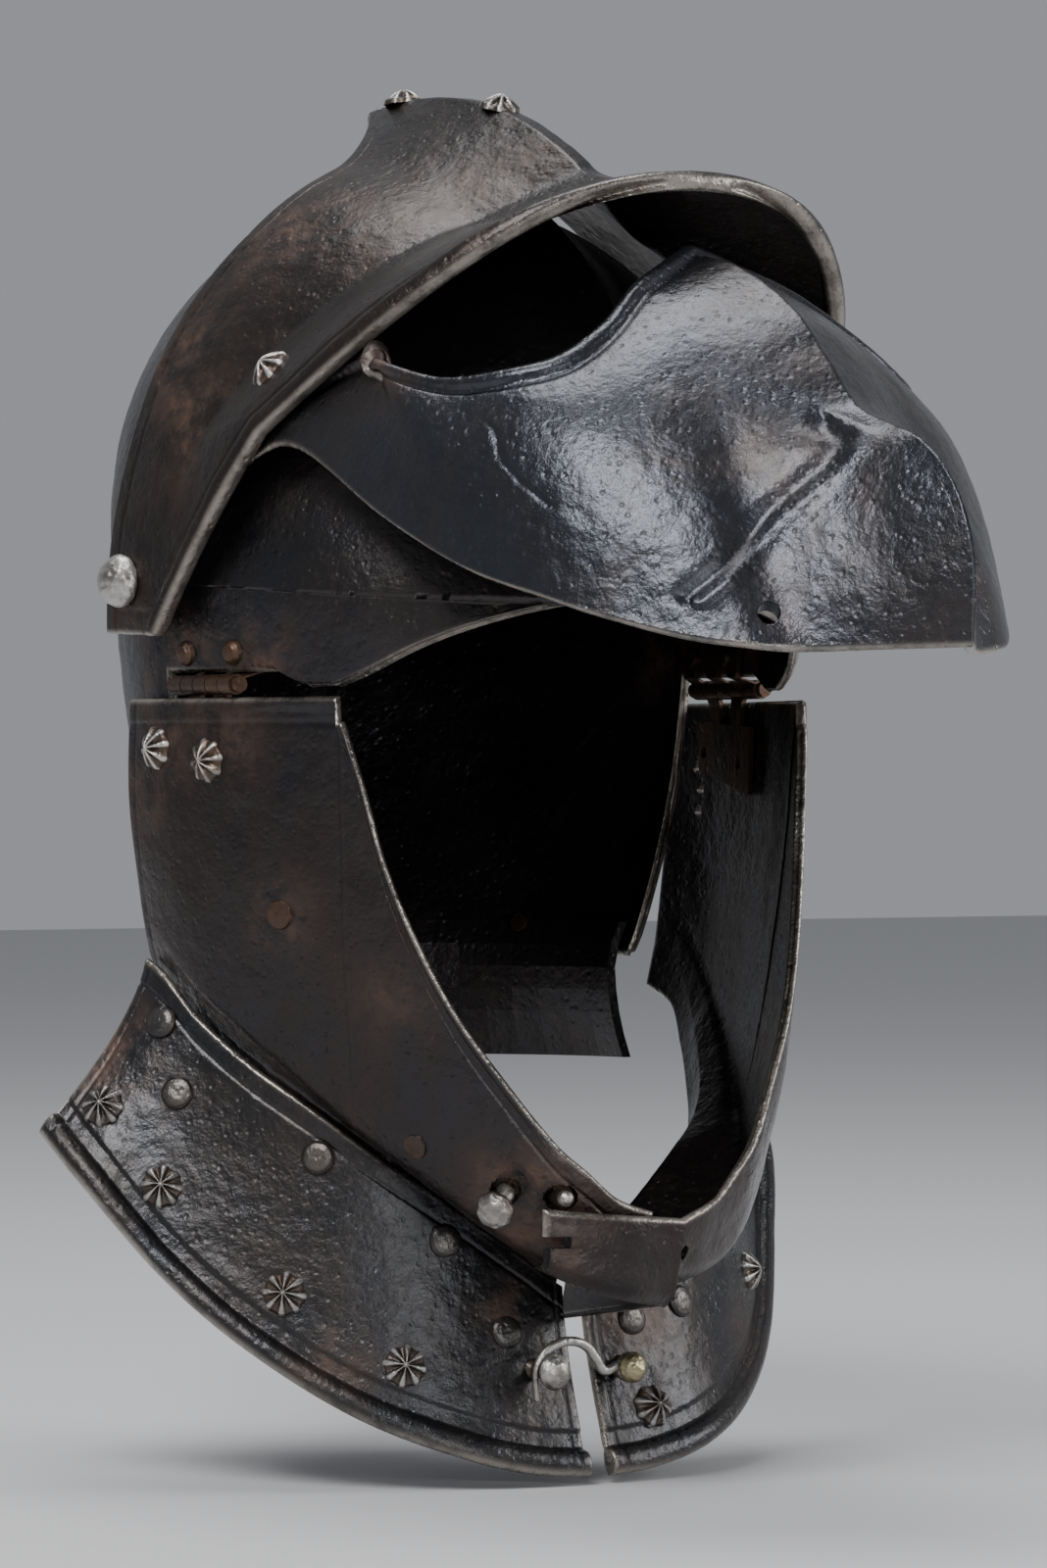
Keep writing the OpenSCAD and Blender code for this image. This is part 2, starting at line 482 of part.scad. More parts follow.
function on_cheek(psi, u, s, lift = 0) =
    let (p = cheek_at(psi, u, 0, 0), n = unit(cross(cheek_at(psi + 1, u, 0, 0) - p, cheek_at(psi, u + 0.02, 0, 0) - p)))
    [flip_x(p + n * lift, -s), flip_x(n, -s)];

// Gorget: the flare from the throat seam to the turned rim
gorget_r = [[0, 74.5], [15, 76], [29, 80], [50, 84], [69, 92.5], [81.5, 102], [91.6, 114], [99, 120.5]];
gorget_z = [[0, -238], [15, -236.5], [29, -232], [50, -221], [69, -203], [81.5, -184.5], [91.6, -161], [99, -146]];
function gorget_at(psi, t, inset) =
    let (a = min(abs(psi), 99), sr = curve(ck_seam_r, a) * spread + gorget_t + 0.4,
         sz = curve(ck_seam_z, a) - 0.6 - 1.4 * ease((65 - a) / 30) - ease((16 - a) / 10),
         rr = mix(sr, curve(gorget_r, a) * spread, pow(t, 1.45)), zz = mix(sz, curve(gorget_z, a), t),
         roll = ease((t - 0.9) / 0.1))
    round_neck(psi, rr - inset - (inset > 0 ? 1.6 * roll : -1.4 * roll), zz - (inset > 0 ? 0 : 0) + inset * 0.5 * t);
function gorget_psi(i) = mix(2.7, 98.5, i / 17);
module gorget_shell() {
    plate([for (i = [0 : 17]) [for (j = [0 : 9]) gorget_at(gorget_psi(i), j / 9, 0)]],
          [for (i = [0 : 17]) [for (j = [0 : 9]) gorget_at(gorget_psi(i), j / 9, gorget_t)]]);
}
function on_gorget(psi, t, s) =
    let (p = gorget_at(psi, t, 0), n = unit(cross(gorget_at(psi + 1, t, 0) - p, gorget_at(psi, t + 0.05, 0) - p)))
    [flip_x(p, -s), flip_x(n, -s)];

// Cheekpiece fastenings: [angle round the neck, row]
hinge_studs = [[91, 0.14], [77.5, 0.14]];
left_hinge_studs = [[88, 0.14], [75, 0.14]];
plug_at = [62.7, 0.4];
catch_at = [39, 0.6];
stud_at = [17.4, 0.285];
knob_at = [25, 0.47];
gorget_pins_right = [[91, 0.2], [86, 0.36], [60, 0.16], [34, 0.16], [20, 0.4]];
gorget_pins_left = [[91, 0.2], [86, 0.36], [60, 0.16], [31, 0.42], [16, 0.33]];
gorget_studs_right = [[94, 0.7], [84.5, 0.72], [64, 0.72], [42, 0.73]];
gorget_studs_left = [[94, 0.7], [84.5, 0.72], [64, 0.72], [17, 0.74]];
edge_holes = [[92.5, 0.2], [91.5, 0.26], [92, 0.33]];

module cheek_holes(s, studs, pins) {
    shank_holes([for (q = studs) on_cheek(q[0], q[1], s)], 3.1);
    shank_holes([for (q = pins) if (q[1] < 0.2) on_gorget(q[0], q[1], s)], 3.1);
}
// Where the locking stud and the knob leave the right cheekpiece
stud_p = on_cheek(stud_at[0], stud_at[1], -1)[0];
knob_p = on_cheek(knob_at[0], knob_at[1], -1)[0];
stud_dir = [-sin(14), -cos(14), 0];
knob_dir = [-0.42, -0.9, -0.1];
module cheek_right() {
    color(brown_iron) difference() {
        cheek_shell(right_psi, false);
        cheek_holes(-1, hinge_studs, gorget_pins_right);
        shank_holes([on_cheek(plug_at[0], plug_at[1], -1)], 5.1);
        shank_holes([on_cheek(catch_at[0], catch_at[1], -1)], 3.1);
        for (m = [-1.2, 0, 1.2, 2.4]) facing(stud_p + [m, 0, 0], stud_dir) cylinder(h = 24, d = stud_d + 2, center = true);
        for (m = [-1.2, 0, 1.2]) facing(knob_p + [m, 0, 0], unit(knob_dir)) cylinder(h = 20, d = 6.6, center = true);
    }
}
module cheek_left() {
    color(iron) difference() {
        mirror([1, 0, 0]) cheek_shell(left_psi, true);
        cheek_holes(1, left_hinge_studs, gorget_pins_left);
        shank_holes([for (q = edge_holes) on_cheek(q[0], q[1], 1)], 3.4);
        translate([1.5, -112, -177]) rotate([90, 0, 0]) cylinder(h = 30, d = 4, center = true);
        translate([strap_end_x - 8, -135, -174.6]) cube([15, 50, 3]);
        translate([strap_end_x - 8, -135, -195]) cube([10, 50, 21]);
    }
}

// Lower hinge leaf: two knuckles and a leaf along the cheekpiece's inner face
function cheek_in(y, u, deep) =
    let (psi = acos((-y - neck_f) / (92 * spread)), p = cheek_at(psi, u, 0, cheek_t + 0.7 + deep)) [-p[0], y, p[2]];
function leaf_row(ys, u) = [[for (y = ys) u < 0 ? [hinge_x - 0.2, y, hinge_z - 1.9] : cheek_in(y, u, 0)],
                            [for (y = ys) u < 0 ? [hinge_x - 1.8, y, hinge_z - 1.6] : cheek_in(y, u, leaf_t)]];
module hinge_leaf_cheek(s, studs) {
    wide = [for (j = [0 : 6]) hinge_y - hinge_l / 2 + 0.2 + j * (hinge_l - 0.4) / 6];
    color(rusty) mirror([s < 0 ? 1 : 0, 0, 0]) difference() {
        union() {
            translate([hinge_x, 0, hinge_z]) knuckles(1);
            for (k = [1, 3]) let (ys = [for (j = [0 : 2]) leaf_y(j, k)])
                leaf([for (u = [0.12, 0.06, 0.012, -1]) leaf_row(ys, u)]);
            leaf([for (u = [0.2, 0.15, 0.1, 0.055]) leaf_row(wide, u)]);
        }
        translate([hinge_x, hinge_y, hinge_z]) rotate([90, 0, 0])
            cylinder(h = 60, d = hinge_pin_d + 2 * fit, center = true);
        shank_holes([for (q = studs) on_cheek(q[0], q[1], 1)], 3.1);
    }
}
module hinge_rosettes(s, studs) {
    color(bright) for (q = studs) rosette(on_cheek(q[0], q[1], s), cheek_t + leaf_t + 0.6);
}

module gorget(s, studs, pins) {
    color(iron) difference() {
        if (s < 0) gorget_shell(); else mirror([1, 0, 0]) gorget_shell();
        shank_holes([for (q = concat(studs, pins)) on_gorget(q[0], q[1], s)], 3.1);
        if (s < 0) translate(hook_stud_p) rotate([90, 0, 0]) cylinder(h = 20, d = 3.1, center = true);
        if (s > 0) translate(hook_p) rotate([90, 0, 0]) cylinder(h = 20, d = 3.1, center = true);
    }
}
module gorget_rosettes(s, studs) {
    color(bright) for (q = studs) rosette(on_gorget(q[0], q[1], s), gorget_t + 0.5);
}
module gorget_rivets(s, pins) {
    color(rusty) for (q = pins) let (p = on_gorget(q[0], q[1], s)) facing(p[0], p[1]) {
        translate([0, 0, 0.45]) rotate_extrude() polygon([[0, 0], [4.4, 0], [4.2, 0.7], [3, 1.2], [0, 1.4]]);
        grip = gorget_t + 0.6 + (q[1] < 0.2 ? cheek_t + 3.6 : 0);
        translate([0, 0, -grip]) cylinder(h = grip + 0.8, d = 3);
        translate([0, 0, -grip - 1.2]) cylinder(h = 1.3, d = 5);
    }
}

// Closure at the throat: a mushroom stud on the right and a wire hook riveted on the left
hook_p = flip_x(gorget_at(9, 0.48, 0), -1);
hook_stud_p = let (p = gorget_at(13.5, 0.48, 0)) [p[0], p[1], hook_p[2]];
hook_plane = hook_p[1] - 6.34;
// The hook's bends, from its eye: [x, z] beside the rivet
hook_bends = [[-4.2, 0.4], [-8, -0.6], [-10.6, 2.6], [-13.6, 6], [-17.6, 7.6], [-22.4, 7.4], [-27, 5.2],
              [-29.8, 1.2], [-30.2, -3.2], [-29.8, -8]];
module hook_stud() {
    color(iron) translate(hook_stud_p) rotate([90, 0, 0]) {
        translate([0, 0, -gorget_t - 1.6]) cylinder(h = gorget_t + 3, d = 3);
        translate([0, 0, -gorget_t - 2.8]) cylinder(h = 1.2, d = 5);
        translate([0, 0, 1.3]) cylinder(h = -hook_plane + hook_stud_p[1] + 1, d = 4);
        translate([0, 0, -hook_plane + hook_stud_p[1] + 2]) rotate_extrude()
            polygon([[0, 0], [4.4, 0], [4.8, 1], [4, 2.6], [2.2, 3.8], [0, 4.2]]);
    }
}
module hook_pivot() {
    color(brassy) translate(hook_p) rotate([90, 0, 0]) {
        translate([0, 0, -gorget_t - 1.6]) cylinder(h = -hook_plane + hook_p[1] + gorget_t + 4, d = 3);
        translate([0, 0, -gorget_t - 2.8]) cylinder(h = 1.2, d = 5);
        translate([0, 0, 2.2]) cylinder(h = -hook_plane + hook_p[1] - wire_d / 2 - 2.5, d = 6);
        translate([0, 0, -hook_plane + hook_p[1] + wire_d / 2 + 0.3]) rotate_extrude()
            polygon([[0, 0], [4.2, 0], [4.2, 1], [3, 2.8], [0, 3.6]]);
    }
}
// A bent wire: an eight-sided section carried along a flat path
module wire(path, d) {
    n = len(path);
    function dir(i) = unit(path[min(i + 1, n - 1)] - path[max(i - 1, 0)]);
    points = [for (i = [0 : n - 1]) let (t = dir(i), side = [-t[1], t[0]]) for (k = [0 : 7])
        let (c = cos(22.5 + 45 * k) * d / 2, u = sin(22.5 + 45 * k) * d / 2)
        [path[i][0] + side[0] * c, path[i][1] + side[1] * c, u]];
    walls = [for (i = [0 : n - 2]) for (k = [0 : 7]) let (a = i * 8 + k, b = i * 8 + (k + 1) % 8)
        each [[a, a + 8, b], [b, a + 8, b + 8]]];
    polyhedron(points, concat([[for (k = [0 : 7]) k]], walls, [[for (k = [7 : -1 : 0]) (n - 1) * 8 + k]]));
}
module closure_hook() {
    color(iron) translate([hook_p[0], hook_plane, hook_p[2]]) rotate([90, 0, 0]) difference() {
        union() {
            cylinder(h = wire_d, d = 7.4, center = true);
            wire(concat([[-2.6, 0]], hook_bends), wire_d * 1.04);
        }
        cylinder(h = 20, d = 3 + 2 * fit, center = true);
    }
}

// Plug in an old hole of the right cheekpiece
module cheek_plug() {
    p = on_cheek(plug_at[0], plug_at[1], -1);
    color(rusty) facing(p[0], p[1]) {
        translate([0, 0, -cheek_t - 0.6]) cylinder(h = cheek_t + 1.2, d = 5);
        translate([0, 0, 0.15]) rotate_extrude() polygon([[0, 0], [4, 0], [3.6, 0.8], [0, 1.2]]);
        translate([0, 0, -cheek_t - 1.7]) cylinder(h = 1.3, d = 7);
    }
}

// Spring catch inside the right cheekpiece: a strip riveted at its rear, a stud and a knob in front
spring_line = [[14.5, 0.2, 0.1], [20, 0.34, 0.09], [25, 0.47, 0.078], [30, 0.52, 0.068], [35, 0.57, 0.058],
               [41, 0.61, 0.045]];
spring_t = 1.4;
module catch_spring() {
    color(rusty) difference() {
        plate([for (r = spring_line) [for (m = [-1, 0, 1]) cheek_at(r[0], r[1] + m * r[2], 0, cheek_t + 0.8)]],
              [for (r = spring_line) [for (m = [-1, 0, 1]) cheek_at(r[0], r[1] + m * r[2], 0, cheek_t + 0.8 + spring_t)]]);
        shank_holes([on_cheek(catch_at[0], catch_at[1], -1)], 3.7);
        facing(stud_p, stud_dir) cylinder(h = 24, d = stud_d + 0.1, center = true);
        facing(knob_p, unit(knob_dir)) cylinder(h = 20, d = 3.7, center = true);
    }
}
module catch_rivet() {
    p = on_cheek(catch_at[0], catch_at[1], -1);
    color(rusty) facing(p[0], p[1]) {
        translate([0, 0, -cheek_t - spring_t - 1.6]) cylinder(h = cheek_t + spring_t + 2.2, d = 3);
        translate([0, 0, 0.12]) rotate_extrude() polygon([[0, 0], [3.4, 0], [3.2, 0.6], [0, 1]]);
        translate([0, 0, -cheek_t - spring_t - 2.7]) cylinder(h = 1.3, d = 5.4);
    }
}
module catch_stud() {
    back = cheek_t + spring_t + 1.8;
    color(rusty) facing(stud_p, stud_dir) {
        translate([0, 0, -back]) cylinder(h = back + 4.4, d = stud_d);
        translate([0, 0, 4.4]) sphere(d = stud_d);
    }
}
module catch_knob() {
    back = cheek_t + spring_t + 1.8;
    bend = knob_p + unit(knob_dir) * 5;
    tip = bend + [-6.5, -4.2, -3];
    color(bright) {
        facing(knob_p, unit(knob_dir)) translate([0, 0, -back]) cylinder(h = back + 5, d = 3.6);
        translate(bend) sphere(d = 4);
        facing(bend, unit(tip - bend)) {
            cylinder(h = norm(tip - bend), d = 3.6);
            translate([0, 0, norm(tip - bend) - 0.4]) {
                cylinder(h = 1.8, d1 = 6, d2 = 10, $fn = 8);
                translate([0, 0, 1.8]) cylinder(h = 1.4, d = 10, $fn = 8);
                translate([0, 0, 3.2]) cylinder(h = 1.8, d1 = 10, d2 = 5, $fn = 8);
            }
        }
    }
}

skull();
nape_plate();
nape_rivets();
pivot_bolt(-1);  // pivot_bolt_right
pivot_bolt(1);  // pivot_bolt_left
pivot_nut(-1);  // pivot_nut_right
pivot_nut(1);  // pivot_nut_left
hinge_leaf_skull(-1);  // hinge_leaf_skull_right
hinge_leaf_skull(1);  // hinge_leaf_skull_left
hinge_rivets_skull();
hinge_pin(-1);  // hinge_pin_right
hinge_pin(1);  // hinge_pin_left
visor();
peak();
peak_rosettes();
cheek_right();
hinge_leaf_cheek(-1, hinge_studs);  // hinge_leaf_cheek_right
hinge_rosettes(-1, hinge_studs);  // hinge_rosettes_right
gorget(-1, gorget_studs_right, gorget_pins_right);  // gorget_right
gorget_rosettes(-1, gorget_studs_right);  // gorget_rosettes_right
gorget_rivets(-1, gorget_pins_right);  // gorget_rivets_right
hook_stud();
cheek_plug();
catch_spring();
catch_rivet();
catch_knob();
catch_stud();
cheek_left();
hinge_leaf_cheek(1, left_hinge_studs);  // hinge_leaf_cheek_left
hinge_rosettes(1, left_hinge_studs);  // hinge_rosettes_left
gorget(1, gorget_studs_left, gorget_pins_left);  // gorget_left
gorget_rosettes(1, gorget_studs_left);  // gorget_rosettes_left
gorget_rivets(1, gorget_pins_left);  // gorget_rivets_left
hook_pivot();
closure_hook();
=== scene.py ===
import math
import bmesh
import bpy
import numpy as np
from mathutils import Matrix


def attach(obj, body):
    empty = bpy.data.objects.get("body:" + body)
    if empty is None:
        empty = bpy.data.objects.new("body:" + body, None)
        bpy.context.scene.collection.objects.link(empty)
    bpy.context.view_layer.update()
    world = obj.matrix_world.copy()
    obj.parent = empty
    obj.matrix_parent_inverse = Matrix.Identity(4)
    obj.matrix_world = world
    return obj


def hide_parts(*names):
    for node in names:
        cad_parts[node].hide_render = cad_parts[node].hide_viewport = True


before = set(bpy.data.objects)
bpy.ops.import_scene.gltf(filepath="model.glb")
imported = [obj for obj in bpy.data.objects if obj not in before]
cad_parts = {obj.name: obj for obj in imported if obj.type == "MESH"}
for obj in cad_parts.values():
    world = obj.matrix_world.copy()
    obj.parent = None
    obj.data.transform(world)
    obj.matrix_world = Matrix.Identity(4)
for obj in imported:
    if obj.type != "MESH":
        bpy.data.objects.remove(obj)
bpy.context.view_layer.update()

# Skull. The bowl is one heavy iron plate, raised into a low comb from brow to nape and left thick.
# Its lower edge is cut away over the hinges and runs down behind the cheekpieces to the nape.
# The russeted surface is pitted all over, and the bared edges are worn to grey metal.


def curve(table, key):
    # Smooth curve through stations [key, value]
    xs = np.array([row[0] for row in table], float)
    ys = np.array([row[1] for row in table], float)
    k = np.clip(np.asarray(key, float), xs[0], xs[-1])
    i = np.clip(np.searchsorted(xs, k, side="right") - 1, 0, len(xs) - 2)
    m = np.empty_like(ys)
    m[1:-1] = (ys[2:] - ys[:-2]) / (xs[2:] - xs[:-2])
    m[0] = (ys[1] - ys[0]) / (xs[1] - xs[0])
    m[-1] = (ys[-1] - ys[-2]) / (xs[-1] - xs[-2])
    h = xs[i + 1] - xs[i]
    t = (k - xs[i]) / h
    u = 1 - t
    return (ys[i] * u * u * (1 + 2 * t) + ys[i + 1] * t * t * (3 - 2 * t)
            + m[i] * h * t * u * u - m[i + 1] * h * t * t * u)


def ease(t):
    c = np.clip(t, 0, 1)
    return c * c * (3 - 2 * c)


def sin_d(a):
    return np.sin(np.radians(a))


def cos_d(a):
    return np.cos(np.radians(a))


def value_noise(p, size, seed):
    # Smooth noise from -1 to 1 on a lattice with cells of the given size in mm
    q = p / size + seed * 7.31
    base = np.floor(q)
    f = q - base
    f = f * f * (3 - 2 * f)
    total = 0
    for dx in (0, 1):
        for dy in (0, 1):
            for dz in (0, 1):
                c = base + np.array([dx, dy, dz])
                h = np.sin(c[..., 0] * 127.1 + c[..., 1] * 311.7 + c[..., 2] * 74.7 + seed * 19.19) * 43758.5453
                w = ((f[..., 0] if dx else 1 - f[..., 0]) * (f[..., 1] if dy else 1 - f[..., 1])
                     * (f[..., 2] if dz else 1 - f[..., 2]))
                total = total + w * (h - np.floor(h))
    return total * 2 - 1


def hammered(p, seed):
    # Dents of the hammer and the wavy surface left by corrosion, in mm
    return (0.34 * value_noise(p, 26, seed) + 0.2 * value_noise(p, 11, seed + 1)
            + 0.11 * value_noise(p, 5, seed + 2) + 0.07 * value_noise(p, 2.4, seed + 3))


def normals(grid, sign):
    n = np.cross(np.gradient(grid, axis=0), np.gradient(grid, axis=1)) * sign
    return n / np.maximum(np.linalg.norm(n, axis=-1, keepdims=True), 1e-9)


def border_distances(grid):
    # Distance in mm along the grid from each of its four borders
    du = np.linalg.norm(np.diff(grid, axis=0), axis=-1)
    dv = np.linalg.norm(np.diff(grid, axis=1), axis=-1)
    u0 = np.zeros(grid.shape[:2])
    u0[1:] = np.cumsum(du, axis=0)
    v0 = np.zeros(grid.shape[:2])
    v0[:, 1:] = np.cumsum(dv, axis=1)
    return u0, u0[-1:] - u0, v0, v0[:, -1:] - v0


def near(p, centres):
    # Sum of soft spots, each [x, y, z, reach] in mm
    total = np.zeros(p.shape[:-1])
    for x, y, z, reach in centres:
        total = total + np.exp(-(np.linalg.norm(p - np.array([x, y, z]), axis=-1) / reach) ** 2)
    return total


def mesh_object(name, points, faces, masks=None):
    me = bpy.data.meshes.new(name)
    me.from_pydata((points * 0.001).tolist(), [], faces.tolist() if hasattr(faces, "tolist") else faces)
    for key, values in (masks or {}).items():
        layer = me.attributes.new(key, "FLOAT", "POINT")
        layer.data.foreach_set("value", np.clip(values, 0, 1).astype(np.float32).ravel())
    bm = bmesh.new()
    bm.from_mesh(me)
    bmesh.ops.remove_doubles(bm, verts=bm.verts, dist=0.000002)
    bmesh.ops.recalc_face_normals(bm, faces=bm.faces)
    bm.to_mesh(me)
    bm.free()
    me.polygons.foreach_set("use_smooth", np.ones(len(me.polygons), bool))
    me.update()
    ob = bpy.data.objects.new(name, me)
    bpy.context.collection.objects.link(ob)
    return ob


def rounded(edge, r):
    # How far a rounded border falls back, at a distance from it
    return r - np.sqrt(np.maximum(r * r - (r - np.minimum(edge, r)) ** 2, 0))


def shell(name, grid, thick, sign, seed, raised, rusty, back=None):
    # A plate from the grid of its outer face, with rounded borders, dents and masks of wear and rust
    n = normals(grid, sign)
    d = border_distances(grid)
    edge = np.minimum.reduce(d)
    r = thick * 0.5
    lost = np.where(edge < r, rounded(edge, r), 0) * 0.97
    rise = raised(*d) if raised else 0
    dents = hammered(grid, seed) * ease(edge / 4)
    outer = grid + n * (-lost + rise + dents)[..., None]
    if back is None:
        inner = grid - n * (thick - lost - 0.8 * dents + 0.5 * np.maximum(rise, 0))[..., None]
    else:
        inner = back + n * (lost + 0.8 * dents)[..., None]
    nu, nv = grid.shape[:2]
    a = np.arange(nu * nv).reshape(nu, nv)
    b = a + nu * nv
    quads = [(a[:-1, :-1], a[:-1, 1:], a[1:, 1:], a[1:, :-1]), (b[:-1, :-1], b[1:, :-1], b[1:, 1:], b[:-1, 1:]),
             (a[0, :-1], b[0, :-1], b[0, 1:], a[0, 1:]), (a[-1, 1:], b[-1, 1:], b[-1, :-1], a[-1, :-1]),
             (a[1:, 0], b[1:, 0], b[:-1, 0], a[:-1, 0]), (a[:-1, -1], b[:-1, -1], b[1:, -1], a[1:, -1])]
    faces = np.concatenate([np.stack(quad, -1).reshape(-1, 4) for quad in quads])
    if sign > 0:
        faces = faces[:, ::-1]
    wear = np.exp(-edge / 1.6).ravel()
    rust = near(grid, rusty).ravel()
    masks = {"wear": np.concatenate([wear, wear]), "rust": np.concatenate([rust, rust * 0.8])}
    return mesh_object(name, np.concatenate([outer.reshape(-1, 3), inner.reshape(-1, 3)]), faces, masks)


def round_tool(point, direction, diameter, stretch=0.0, depth=12):
    # Points and faces of a drill, or of a slot if it is stretched sideways
    turn = np.linspace(0, 2 * np.pi, 25)[:-1]
    d = np.array(direction, float) / np.linalg.norm(direction)
    side = np.cross(d, [0, 0, 1.0])
    side /= np.linalg.norm(side)
    up = np.cross(side, d)
    pts = [np.array(point, float) + side * (math.cos(t) * diameter / 2 + math.copysign(stretch, math.cos(t)))
           + up * math.sin(t) * diameter / 2 + d * h for h in (-depth, depth) for t in turn]
    wall = [[k, (k + 1) % 24, 24 + (k + 1) % 24, 24 + k] for k in range(24)]
    return np.array(pts), wall + [list(range(23, -1, -1)), list(range(24, 48))]


def box_tool(lo, hi):
    pts = [(x, y, z) for x in (lo[0], hi[0]) for y in (lo[1], hi[1]) for z in (lo[2], hi[2])]
    return np.array(pts, float), [[0, 1, 3, 2], [4, 6, 7, 5], [0, 4, 5, 1], [2, 3, 7, 6], [0, 2, 6, 4], [1, 5, 7, 3]]


def bore(target, tools):
    # Cuts the tools out of the target and leaves none of them behind
    for pts, faces in tools:
        tool = mesh_object("tool", pts, faces)
        for poly in tool.data.polygons:
            poly.use_smooth = False
        cut = target.modifiers.new("bore", "BOOLEAN")
        cut.object = tool
        cut.solver = "MANIFOLD"
        bpy.context.view_layer.objects.active = target
        bpy.ops.object.modifier_apply(modifier=cut.name)
        bpy.data.objects.remove(tool)


def crowded(n, a=0.8):
    # Parameters from 0 to 1, closer together at both ends
    t = np.linspace(0, 1, n)
    return t - a * np.sin(2 * np.pi * t) / (2 * np.pi)


def iron_skin():
    # Node group of the blackened skin: brown patches, rust by mask and in pits, bare metal where it is worn
    group = bpy.data.node_groups.new("iron_skin", "ShaderNodeTree")
    for label, kind in (("Dark", "Color"), ("Brown", "Color"), ("Bare", "Color"), ("Rusty", "Color"),
                        ("Brown Part", "Float"), ("Rust", "Float"), ("Rough", "Float")):
        group.interface.new_socket(name=label, in_out="INPUT", socket_type="NodeSocket" + kind)
    for label, kind in (("Color", "Color"), ("Metallic", "Float"), ("Roughness", "Float"), ("Height", "Float")):
        group.interface.new_socket(name=label, in_out="OUTPUT", socket_type="NodeSocket" + kind)
    given = group.nodes.new("NodeGroupInput").outputs
    skin = group.nodes.new("NodeGroupOutput").inputs
    place = group.nodes.new("ShaderNodeTexCoord").outputs["Object"]

    def put(socket, value):
        if isinstance(value, bpy.types.NodeSocket):
            group.links.new(value, socket)
        else:
            socket.default_value = (*value, 1) if isinstance(value, tuple) else value

    def noise(scale, detail, roughness, distort=0.0):
        node = group.nodes.new("ShaderNodeTexNoise")
        for label, value in (("Vector", place), ("Scale", scale), ("Detail", detail), ("Roughness", roughness),
                             ("Distortion", distort)):
            put(node.inputs[label], value)
        return node.outputs["Fac"]

    def step(value, low, high, start=0.0, end=1.0):
        node = group.nodes.new("ShaderNodeMapRange")
        node.interpolation_type = "SMOOTHSTEP"
        for label, v in (("Value", value), ("From Min", low), ("From Max", high), ("To Min", start), ("To Max", end)):
            put(node.inputs[label], v)
        return node.outputs["Result"]

    def maths(kind, first, second, clamp=False):
        node = group.nodes.new("ShaderNodeMath")
        node.operation = kind
        node.use_clamp = clamp
        put(node.inputs[0], first)
        put(node.inputs[1], second)
        return node.outputs[0]

    def mixed(share, under, over):
        node = group.nodes.new("ShaderNodeMix")
        node.data_type = "RGBA"
        for k, value in ((0, share), (6, under), (7, over)):
            put(node.inputs[k], value)
        return node.outputs[2]

    def mask(key):
        node = group.nodes.new("ShaderNodeAttribute")
        node.attribute_name = key
        return node.outputs["Fac"]

    patch = noise(22.0, 6.0, 0.65, 0.6)
    blotch = noise(75.0, 5.0, 0.7)
    fleck = noise(420.0, 3.0, 0.7)
    pit = group.nodes.new("ShaderNodeTexVoronoi")
    put(pit.inputs["Vector"], place)
    put(pit.inputs["Scale"], 330.0)

    # Colour: black to brown in patches, darker blotches, rust, dusty flecks, then bare metal over all
    brown_low = maths("SUBTRACT", 0.5, maths("MULTIPLY", given["Brown Part"], 0.25))
    brown_high = maths("SUBTRACT", 0.75, maths("MULTIPLY", given["Brown Part"], 0.2))
    tone = mixed(step(patch, brown_low, brown_high), given["Dark"], given["Brown"])
    tone = mixed(step(blotch, 0.35, 0.8, 0.0, 0.5), tone, mixed(0.55, given["Dark"], (0.0, 0.0, 0.0)))
    rust = maths("ADD", maths("MULTIPLY", mask("rust"), 0.6), maths("MULTIPLY", given["Rust"], 0.06))
    rust = maths("MULTIPLY", maths("MULTIPLY", rust, step(blotch, 0.36, 0.66)), 1.1)
    specks = maths("MULTIPLY", step(fleck, 0.66, 0.74), maths("MULTIPLY", given["Rust"], 0.22))
    rust = maths("ADD", rust, specks, True)
    tone = mixed(rust, tone, given["Rusty"])
    dust = maths("MULTIPLY", step(fleck, 0.7, 0.78), step(patch, 0.45, 0.6, 0.0, 0.55))
    tone = mixed(dust, tone, (0.3, 0.21, 0.13))
    bare = maths("MULTIPLY", step(mask("wear"), 0.25, 0.85), step(blotch, 0.3, 0.56, 0.25, 1.0), True)
    put(skin["Color"], mixed(bare, tone, given["Bare"]))
    put(skin["Metallic"], maths("SUBTRACT", 0.86, maths("MULTIPLY", rust, 0.7), True))

    # Sheen: patches of more and less polish, dull where it is rusty
    polish = step(patch, 0.3, 0.7, maths("SUBTRACT", given["Rough"], 0.07), maths("ADD", given["Rough"], 0.08))
    polish = maths("ADD", polish, maths("MULTIPLY", rust, 0.4))
    put(skin["Roughness"], maths("ADD", polish, step(fleck, 0.4, 0.7, -0.03, 0.07), True))

    # Height: fine corrosion, small round pits and rust that has eaten in
    height = maths("ADD", noise(260.0, 5.0, 0.62), maths("MULTIPLY", step(pit.outputs["Distance"], 0.0, 0.35), 0.32))
    put(skin["Height"], maths("ADD", height, maths("MULTIPLY", rust, -0.25)))
    return group


skin_group = iron_skin()
grey_metal = (0.3, 0.27, 0.235)
rust_brown = (0.105, 0.052, 0.03)


